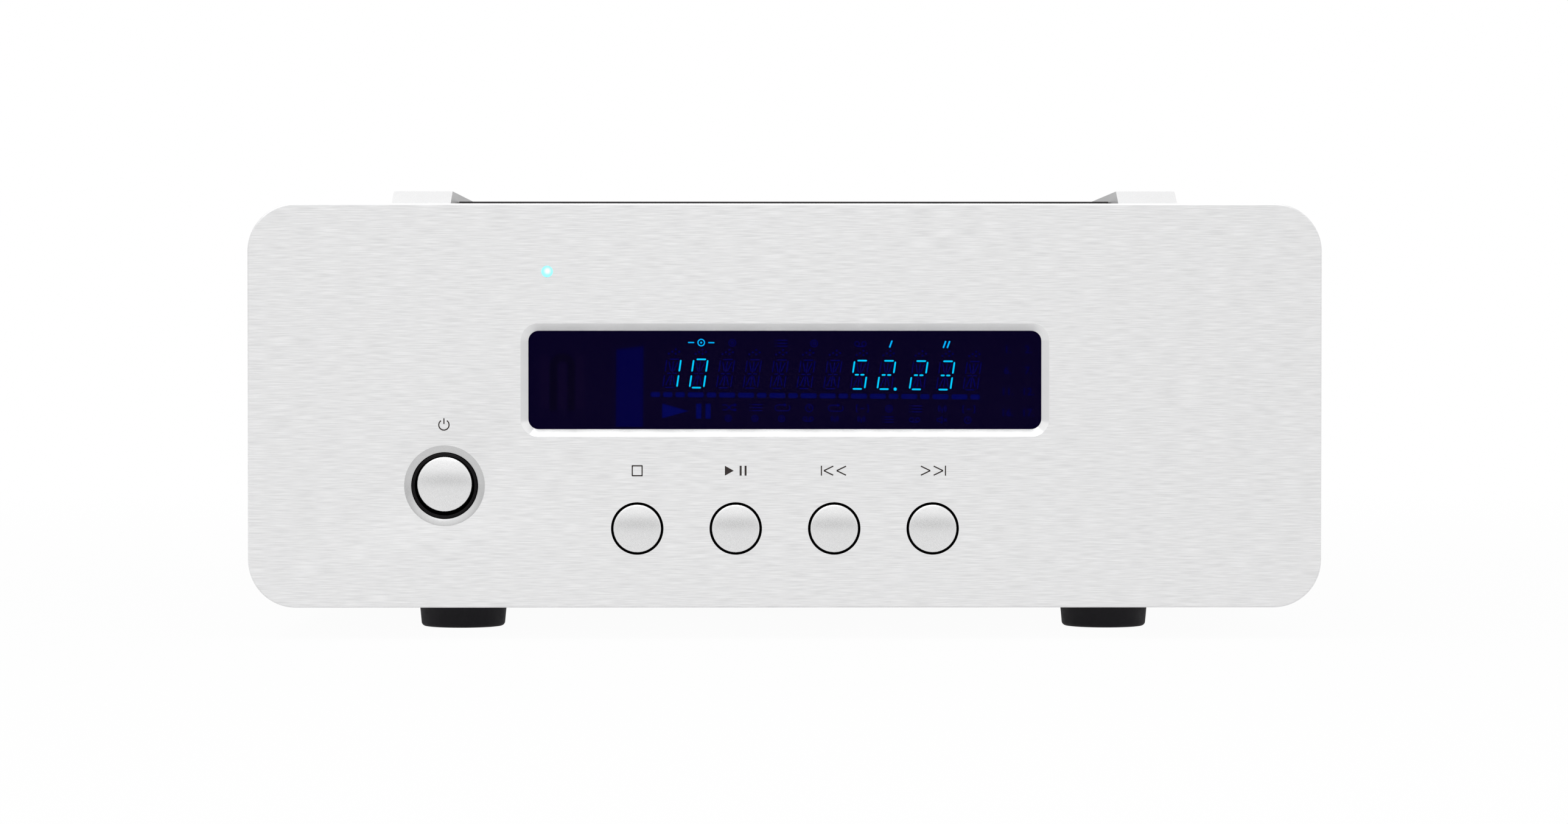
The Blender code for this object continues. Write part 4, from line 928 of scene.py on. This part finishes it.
# %% Digits, lit and ghost
LIT_STROKE = 0.00032
GHOST_STROKE = 0.00021
DOTS = ((-0.0014, 0.0), (-0.0007, 0.0004), (0.0, 0.0009), (0.0007, 0.0004), (0.0, 0.0))
DOTS_ASIDE = 0.00075
DOTS_UP = 0.0051
lit, ghosts = [], []
for place in range(DIGIT_PLACES):
    glyph = GLYPHS.get(SHOWN.get(place), "")
    lit_bars = [segment(name, LIT_STROKE) for name in glyph]
    ghost_bars = [segment(name, GHOST_STROKE) for name in SEGMENTS if name not in glyph]
    ghost_bars += [bar_outline(start, end, GHOST_STROKE) for start, end in GHOST_EXTRA]
    lit += moved(slanted(lit_bars), digit_x(place), DIGIT_BASE)
    ghosts += moved(slanted(ghost_bars), digit_x(place), DIGIT_BASE)
    for across, up in DOTS:
        ghosts.append(disc_outline((digit_x(place) + DOTS_ASIDE + across, DOTS_UP + up), 0.0002, 10))
lit.append(disc_outline((digit_x(8) + 0.0018, DIGIT_BASE + 0.0002), 0.00032, 16))
print("display:", len(lit), "lit and", len(ghosts), "ghost shapes")


# %% Signs above and below the digits
def track_sign():
    """A disc with its centre hole, between two short bars."""
    return ring_outlines((0, 0), 0.00066, 0.00022) + [disc_outline((0, 0), 0.0002, 10)] + [
        bar_outline((side * 0.0014, 0), (side * 0.0027, 0), 0.00024, 0.0001) for side in (-1, 1)]


def prime_signs(count):
    """One or two slanted strokes, for minutes and seconds."""
    return [bar_outline((offset - 0.0002, -0.0007), (offset + 0.0003, 0.0007), 0.0003)
            for offset in ([0.0] if count == 1 else [-0.0004, 0.0004])]


lit_signs = moved(track_sign(), -0.0170, 0.0074)
lit_signs += moved(prime_signs(1), 0.0214, 0.0074) + moved(prime_signs(2), 0.0327, 0.0074)
print("lit signs:", len(lit_signs), "shapes")


# %% Ghost signs
SIGN_LINE = 0.00017


def line(*points):
    """Bars through the points, in thousandths of a metre."""
    return [bar_outline([v / 1000 for v in start], [v / 1000 for v in end], SIGN_LINE)
            for start, end in zip(points, points[1:])]


def ring(x, z, radius, start=0, sweep=360):
    """Ring or arc, in thousandths of a metre."""
    return ring_outlines((x / 1000, z / 1000), radius / 1000, SIGN_LINE, start, sweep, 14)


def arrow_tip(x, z, way=1):
    """Small solid arrow head that points right or left."""
    corners = ((x, z + 0.35), (x + way * 0.55, z), (x, z - 0.35))
    return [[(across / 1000, up / 1000) for across, up in corners]]


GHOST_SIGNS = {
    "shuffle": line((-1.4, -0.5), (-0.6, -0.5), (0.5, 0.5), (1.0, 0.5)) + arrow_tip(1.0, 0.5)
    + line((-1.4, 0.5), (-0.6, 0.5), (0.5, -0.5), (1.0, -0.5)) + arrow_tip(1.0, -0.5),
    "list": line((-0.8, 0.6), (1.3, 0.6)) + line((-0.8, 0), (1.3, 0)) + line((-0.8, -0.6), (1.3, -0.6))
    + line((-1.3, 0.6), (-1.1, 0.6)) + line((-1.3, 0), (-1.1, 0)) + line((-1.3, -0.6), (-1.1, -0.6)),
    "loop": line((0.3, 0.6), (-0.9, 0.6)) + ring(-0.9, 0, 0.6, 90, 180) + line((-0.9, -0.6), (0.9, -0.6))
    + ring(0.9, 0, 0.6, 270, 140) + arrow_tip(0.3, 0.6),
    "clock": ring(0, 0, 0.75) + line((0, 0.5), (0, 0), (0.4, 0)),
    "reels": ring(-0.7, 0, 0.45) + ring(0.7, 0, 0.45) + line((-0.7, -0.55), (0.7, -0.55)),
    "aerial": line((0, -0.75), (0, 0.1)) + ring(0, 0.1, 0.42, -50, 100) + ring(0, 0.1, 0.42, 130, 100)
    + ring(0, 0.1, 0.8, -50, 100) + ring(0, 0.1, 0.8, 130, 100),
    "socket": ring(0, 0, 0.7) + ring(0, 0, 0.25),
    "span": line((-0.9, 0.7), (-1.2, 0.7), (-1.2, -0.7), (-0.9, -0.7)) + line((-0.4, 0), (0.4, 0))
    + line((0.9, 0.7), (1.2, 0.7), (1.2, -0.7), (0.9, -0.7)),
    "mute": line((-0.9, 0.3), (-0.4, 0.3), (0.2, 0.75), (0.2, -0.75), (-0.4, -0.3), (-0.9, -0.3), (-0.9, 0.3))
    + line((0.6, 0.35), (1.3, -0.35)) + line((0.6, -0.35), (1.3, 0.35)),
}
SIGN_ROWS = (
    (0.0074, 1.0, (-0.0107, -0.0008, 0.0059, 0.0153), ("socket", "list", "socket", "reels")),
    (-0.0057, 1.0, [-0.0112 + 0.0054 * place for place in range(10)],
     ("shuffle", "list", "loop", "clock", "loop", "span", "socket", "list", "aerial", "span")),
    (-0.0079, 0.9, [-0.0114 + 0.0054 * place for place in range(10)],
     ("socket", "socket", "socket", "reels", "aerial", "aerial", "list", "reels", "mute", "clock")),
)
for up, scale, places, names in SIGN_ROWS:
    for across, name in zip(places, names):
        ghosts += moved(GHOST_SIGNS[name], across, up, scale)
print("ghost signs:", sum(len(row[3]) for row in SIGN_ROWS))

# %% Dash row, play and pause
dashes = []
DASH_LENGTHS = {"s": 0.0020, "l": 0.00335}
DASH_ROW = "ssslsllslsllsllslslls"
DASH_GAP = 0.0005
dash_start = -0.0272
for kind in DASH_ROW:
    dash_end = dash_start + DASH_LENGTHS[kind]
    dashes.append(bar_outline((dash_start, -0.0032), (dash_end, -0.0032), 0.0010, 0.0002))
    dash_start = dash_end + DASH_GAP
dashes.append([(-0.0248, -0.0080), (-0.0248, -0.0050), (-0.0195, -0.0065)])
dashes += [bar_outline((across, -0.0080), (across, -0.0050), 0.00105) for across in (-0.0174, -0.0155)]

print("signs placed")


# %% Numbers at the right
NUMBER_SIZE = 0.0022
NUMBER_THICK = 0.00004
NUMBER_ROWS = ((1, 2), (6, 7), (11, 12), (16, 17))


def ghost_number(value, across, up):
    """A plain number in the built-in font, standing on the plate."""
    name = f"ghost_number_{value}"
    data = bpy.data.curves.new(name, "FONT")
    data.body = f"{value}."
    data.size = NUMBER_SIZE
    data.align_x = "CENTER"
    data.align_y = "CENTER"
    data.extrude = NUMBER_THICK / 2
    data.resolution_u = 3
    letter = bpy.data.objects.new(name, data)
    letter.rotation_euler = (math.pi / 2, 0, 0)
    (x, z), = on_plate([[(across, up)]])[0]
    letter.location = (x, PLATE_Y - 0.00006 + NUMBER_THICK / 2, z)
    data.materials.append(FAINT_BLUE)
    bpy.context.scene.collection.objects.link(letter)
    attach(letter, "case")


# Only the lit digits and lit signs are lamps. The other glows are painted light: the tube's stray light on
# the unlit segments, dashes, numbers, plate, blue band, getter bands and arch, made as their own faint glow.
GHOST_BLUE = lamp_and_painted_glow_material("ghost_phosphor", (0.0012, 0.0016, 0.15))
FAINT_BLUE = lamp_and_painted_glow_material("faint_phosphor", (0.0012, 0.0014, 0.12))
DASH_BLUE = lamp_and_painted_glow_material("dash_phosphor", (0.0006, 0.0030, 0.135))
LIT_CYAN = lamp_and_painted_glow_material("lit_phosphor", (0.0, 0.66, 1.0), 2.1)
LIT_BLUE = lamp_and_painted_glow_material("lit_sign_phosphor", (0.0, 0.52, 1.0), 2.0)
PLATE_DARK = lamp_and_painted_glow_material("display_plate_dark", (0.0034, 0.0012, 0.0230))
BAND_BLUE = lamp_and_painted_glow_material("blue_band", (0.0004, 0.0004, 0.074))
GETTER = lamp_and_painted_glow_material("getter_band", (0.0060, 0.0022, 0.026))
ARCH_DARK = lamp_and_painted_glow_material("getter_arch", (0.0022, 0.0009, 0.0135))

for row, values in enumerate(NUMBER_ROWS):
    for value, across in zip(values, (0.0452, 0.0494)):
        ghost_number(value, across, 0.00645 - 0.00428 * row)
print("numbers:", 2 * len(NUMBER_ROWS))

# %% Stack the display's layers
LAYER = 0.00006
plate_width = WINDOW_HIGH[0] - WINDOW_LOW[0]
plate_height = WINDOW_HIGH[2] - WINDOW_LOW[2]
sheet = rounded(plate_width, plate_height, WINDOW_CORNER)
plate = loft("display_plate", [(0, sheet), (TUBE_FRONT - PLATE_Y - 0.0001, sheet)],
             (0, PLATE_Y, WINDOW_Z), "Y", PLATE_DARK)
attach(plate, "case")
band = [[(-0.0342, -0.0098), (-0.0287, -0.0098), (-0.0287, 0.0066), (-0.0342, 0.0059)]]
GETTER_X = -0.0451
getters = [bar_outline((GETTER_X + side * 0.0036, -0.0063), (GETTER_X + side * 0.0036, 0.0045), 0.0018)
           for side in (-1, 0, 1)]
arch = [bar_outline((GETTER_X + side * 0.0018, -0.0066), (GETTER_X + side * 0.0018, 0.0024), 0.0015)
        for side in (-1, 1)] + ring_outlines((GETTER_X, 0.0024), 0.0018, 0.0015, 0, 180)
LAYERS = (
    ("blue_band", band, BAND_BLUE, 1),
    ("getter_bands", getters, GETTER, 1),
    ("getter_arch", arch, ARCH_DARK, 2),
    ("ghost_segments", ghosts, GHOST_BLUE, 2),
    ("ghost_bars", dashes, DASH_BLUE, 2),
    ("lit_digits", lit, LIT_CYAN, 3),
    ("lit_signs", lit_signs, LIT_BLUE, 3),
)
for name, outlines, material, level in LAYERS:
    printed(name, on_plate(outlines), PLATE_Y - level * LAYER, LAYER * 0.6, material)
nodes["display_window"].data.materials.clear()
nodes["display_window"].data.materials.append(SMOKED_WINDOW)
print("display layers stacked")

# %% [markdown]
# ## Rails, lid and case
# These shapes are already right in the CAD. What they lack is the small radius that every real edge
# has, so we keep the CAD pieces, add a bevel and give them their finish.

# %% Soften and finish CAD pieces
def soften(node, material, radius=0.0):
    """Give a CAD piece its finish, and round its edges."""
    piece = nodes[node]
    piece.data.materials.clear()
    piece.data.materials.append(material)
    if radius:
        bevel = piece.modifiers.new("edge", "BEVEL")
        bevel.width = radius
        bevel.segments = 2
        bevel.limit_method = "ANGLE"
        bevel.angle_limit = math.radians(35)
        bevel.harden_normals = True
    piece.data.shade_smooth()
    piece.data.set_sharp_from_angle(angle=math.radians(35))


soften("left_lid_rail", RAIL_METAL, 0.00025)
soften("right_lid_rail", RAIL_METAL, 0.00025)
soften("sliding_lid", SMOKED_LID, 0.00025)
soften("top_cover", CASE_PAINT, 0.0004)
soften("rear_panel", CASE_PAINT, 0.0002)
soften("chassis_tray", ZINC)
for node in ("mains_inlet", "optical_output"):
    soften(node, BLACK_MOULDED, 0.0002)
print("case pieces finished")

# %% [markdown]
# ## Feet and screws
# A moulded rubber foot tapers a little so that it leaves its mould, and it has a soft lower rim. It
# is turned here with enough steps to look round. The screws get a cross recess, cut as on real ones.

# %% Feet and screws
CORNERS = [f"{end}_{hand}" for end in ("front", "rear") for hand in ("left", "right")]


def rubber_foot(name):
    """Tapered foot with rounded rims and the screw's recess."""
    low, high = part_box(name)
    centre = middle(name)
    radius, top = (high[0] - low[0]) / 2, high[2]
    base, rim = radius - 0.0006, 0.0009
    turns = [step * math.pi / 12 for step in range(7)]
    outer = [(base - rim + rim * math.sin(turn), rim - rim * math.cos(turn)) for turn in turns]
    profile = [(0.0046, 0.0004), (0.0050, 0)] + outer + [(radius, top - 0.0008), (radius - 0.0004, top),
                                                         (0.0019, top), (0.0019, 0.004), (0.0046, 0.004)]
    foot = turned(name + "_rubber", profile, (centre.x, centre.y, 0), "Z", FOOT_RUBBER, loop=True)
    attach(foot, "case")
    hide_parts(name)


def cross_recess(centre, axis, face, depth, size):
    """Two crossed slots, as a tool."""
    tools = []
    for wide, tall in ((size, size * 0.22), (size * 0.22, size)):
        outline = rounded(wide, tall, tall * 0.2 if tall < wide else wide * 0.2, 2)
        tools.append(loft("recess", sorted([(face - depth, outline), (face + depth, outline)]), centre, axis))
    return tools


def foot_screw(name):
    """Pan head screw seen from below, with its shank."""
    low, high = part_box(name)
    centre = middle(name)
    head = (high[0] - low[0]) / 2
    start = low[2]
    profile = [(0, start), (head * 0.7, start), (head * 0.9, start + 0.0003), (head, start + 0.0009),
               (head, start + 0.002), (0.0016, start + 0.002), (0.0016, high[2]), (0, high[2])]
    screw = turned(name + "_bright", profile, (centre.x, centre.y, 0), "Z", SCREW_STEEL, 40)
    cut(screw, *cross_recess((centre.x, centre.y, 0), "Z", start, 0.001, head * 1.1))
    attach(screw, "case")
    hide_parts(name)


def cover_screw(name):
    """Domed screw through the cover's side."""
    low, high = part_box(name)
    centre = middle(name)
    side = -1 if centre.x < 0 else 1
    face = max(abs(low[0]), abs(high[0]))
    end = min(abs(low[0]), abs(high[0]))
    radius = (high[2] - low[2]) / 2
    profile = [(0, face), (radius * 0.5, face - 0.00008), (radius * 0.85, face - 0.0005),
               (radius, face - 0.0011), (radius, face - 0.0015), (0.0015, face - 0.0015), (0.0015, end),
               (0, end)]
    place = (0, centre.y, centre.z)
    screw = turned(name + "_bright", [(across, side * along) for across, along in profile], place, "X",
                   SCREW_STEEL, 40)
    cut(screw, *cross_recess(place, "X", side * face, 0.0008, radius * 1.2))
    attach(screw, "case")
    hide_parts(name)


for corner in CORNERS:
    rubber_foot(f"{corner}_foot")
    foot_screw(f"{corner}_foot_screw")
    cover_screw(f"{corner}_cover_screw")
print("feet and screws")

# %% [markdown]
# ## Disc well
# Sliding the lid back shows a round well with a step for small discs, the turntable's hub and the
# clamp puck. They are moulded, so their edges are soft and their surface is matt. The puck has a
# turned metal cap that a hand can grip.

# %% Well, turntable and puck
def ring_profile_piece(name, node, profile, material, body, loop=False, tools=()):
    """A turned piece about a CAD node's own upright axis."""
    centre = middle(node)
    piece = turned(name, profile, (centre.x, centre.y, 0), "Z", material, loop=loop)
    if tools:
        cut(piece, *tools)
    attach(piece, body)
    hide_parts(node)


def disc_well():
    """Well with a rounded lip, a stepped floor, the hub hole and the pickup's slot."""
    low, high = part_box("disc_deck")
    centre = middle("disc_deck")
    rim, top, floor = (high[0] - low[0]) / 2, high[2], low[2] + 0.002
    well, wall, hub, small, step = 0.0625, 0.0645, 0.0185, 0.041, 0.0007
    profile = [(hub, low[2]), (wall, low[2]), (wall, top - 0.0015), (rim, top - 0.0015), (rim, top),
               (well + 0.0004, top)] + arc((well + 0.0004, top - 0.0004), 0.0004, 90, 180, 4)
    profile += arc((well - 0.001, floor + 0.001), 0.001, 0, -90, 6)
    profile += [(small + 0.0003, floor), (small, floor - 0.0003), (small - 0.0003, floor - step),
                (hub + 0.0003, floor - step), (hub, floor - step - 0.0003)]
    window = rounded(0.018, 0.061, 0.003, 6)
    slot = loft("slot_tool", [(-0.01, window), (0.01, window)], (centre.x, centre.y - 0.0311, low[2]), "Z")
    ring_profile_piece("well_moulding", "disc_deck", profile, BLACK_MOULDED, "case",
                       True, [slot])


def puck():
    """Clamp puck: a skirt, a waist and a grip with a turned cap."""
    low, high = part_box("clamp_puck")
    skirt, bottom, top = (high[0] - low[0]) / 2, low[2], high[2]
    height, grip = top - bottom, 0.0115
    profile = [(0, bottom + 0.0018), (0.0076, bottom + 0.0018), (0.0076, bottom), (skirt - 0.0006, bottom),
               (skirt, bottom + 0.0006), (skirt, bottom + 0.33 * height),
               (skirt - 0.0006, bottom + 0.42 * height), (grip + 0.0012, bottom + 0.48 * height)]
    profile += arc((grip + 0.0012, bottom + 0.48 * height + 0.0012), 0.0012, 270, 180, 5)
    profile += arc((grip - 0.0005, top - 0.0005), 0.0005, 0, 90, 5)
    profile += [(grip * 0.62, top), (grip * 0.58, top - 0.0004), (0, top - 0.0004)]
    ring_profile_piece("puck_turned", "clamp_puck", profile, GLOSS_BLACK, "spinner")
    cap = turned("puck_cap", [(0, top - 0.0003), (grip * 0.56, top - 0.0003), (grip * 0.56, top - 0.0001),
                              (grip * 0.52, top), (0, top)], (0, middle("clamp_puck").y, 0), "Z", BLASTED)
    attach(cap, "spinner")


disc_well()
puck()
print("disc well and puck")

# %% [markdown]
# ## Rear connectors
# The phono jacks are turned brass with gold plate, with a coloured insulator that tells left from
# right. Coloured rings are enough here, and they need no lettering.

# %% Jacks
def gold_jack(name, ring_color):
    """Barrel, nut and neck as in the CAD, with a coloured insulator in its mouth."""
    low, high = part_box(name)
    centre = middle(name)
    reach = high[1] - nodes_rear
    body, neck, nut, barrel = 0.006, 0.005, 0.0065, 0.0042
    profile = [(0, low[1] - nodes_rear), (body, low[1] - nodes_rear), (body, -0.0018), (neck, -0.0018),
               (neck, 0.0003), (nut, 0.0003), (nut, 0.0015), (nut - 0.0003, 0.0018), (barrel, 0.0018),
               (barrel, reach - 0.0003), (barrel - 0.0003, reach), (0.82 * barrel, reach),
               (0.8 * barrel, reach - 0.0003), (0.8 * barrel, 0.0036), (0, 0.0036)]
    piece = turned(name + "_shell", profile, (centre.x, nodes_rear, centre.z), "Y", GOLD, 48)
    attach(piece, "case")
    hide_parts(name)
    darker = tuple(0.8 * part for part in ring_color)
    tint = coated(name + "_insulator_tone", darker, ring_color, 900, (0.35, 0.45), 0.05, 0.00003)
    profile = [(0.34 * barrel, 0.0037), (0.66 * barrel, 0.0037), (0.66 * barrel, 0.82 * reach),
               (0.62 * barrel, 0.85 * reach), (0.38 * barrel, 0.85 * reach), (0.34 * barrel, 0.82 * reach)]
    insulator = turned(name + "_insulator", profile, (centre.x, nodes_rear, centre.z), "Y", tint, 40,
                       loop=True)
    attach(insulator, "case")


nodes_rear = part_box("rear_panel")[1][1]
for name, color in (("left_output_jack", (0.75, 0.74, 0.70)), ("right_output_jack", (0.55, 0.03, 0.03)),
                    ("coaxial_output", (0.75, 0.33, 0.04))):
    gold_jack(name, color)
print("jacks")

# %% [markdown]
# ## Pieces inside
# They show through the vents, in the open well and when the cover is off, so each one has a finish
# of its own too.

# %% Inner finishes
INNER_FINISHES = {
    BOARD_GREEN: ("control_board", "main_board"),
    BLACK_MOULDED: ("turntable", "pickup_sled", "mains_switch"),
    GLOSS_BLACK: ("left_reservoir_capacitor", "right_reservoir_capacitor", "heatsink", "display_tube"),
    ZINC: ("mechanism_frame", "spindle_motor", "sled_motor", "transformer_clamp"),
    SCREW_STEEL: ("left_guide_rod", "right_guide_rod", "transformer_bolt"),
    NATURAL_WHITE: ("lens_holder", "drive_gear", "motor_pinion"),
    WINDING_TAPE: ("ring_transformer",),
    FOOT_RUBBER: tuple(f"{corner}_isolator" for corner in CORNERS),
}
for material, names in INNER_FINISHES.items():
    for name in names:
        soften(name, material)
print("inner pieces finished")
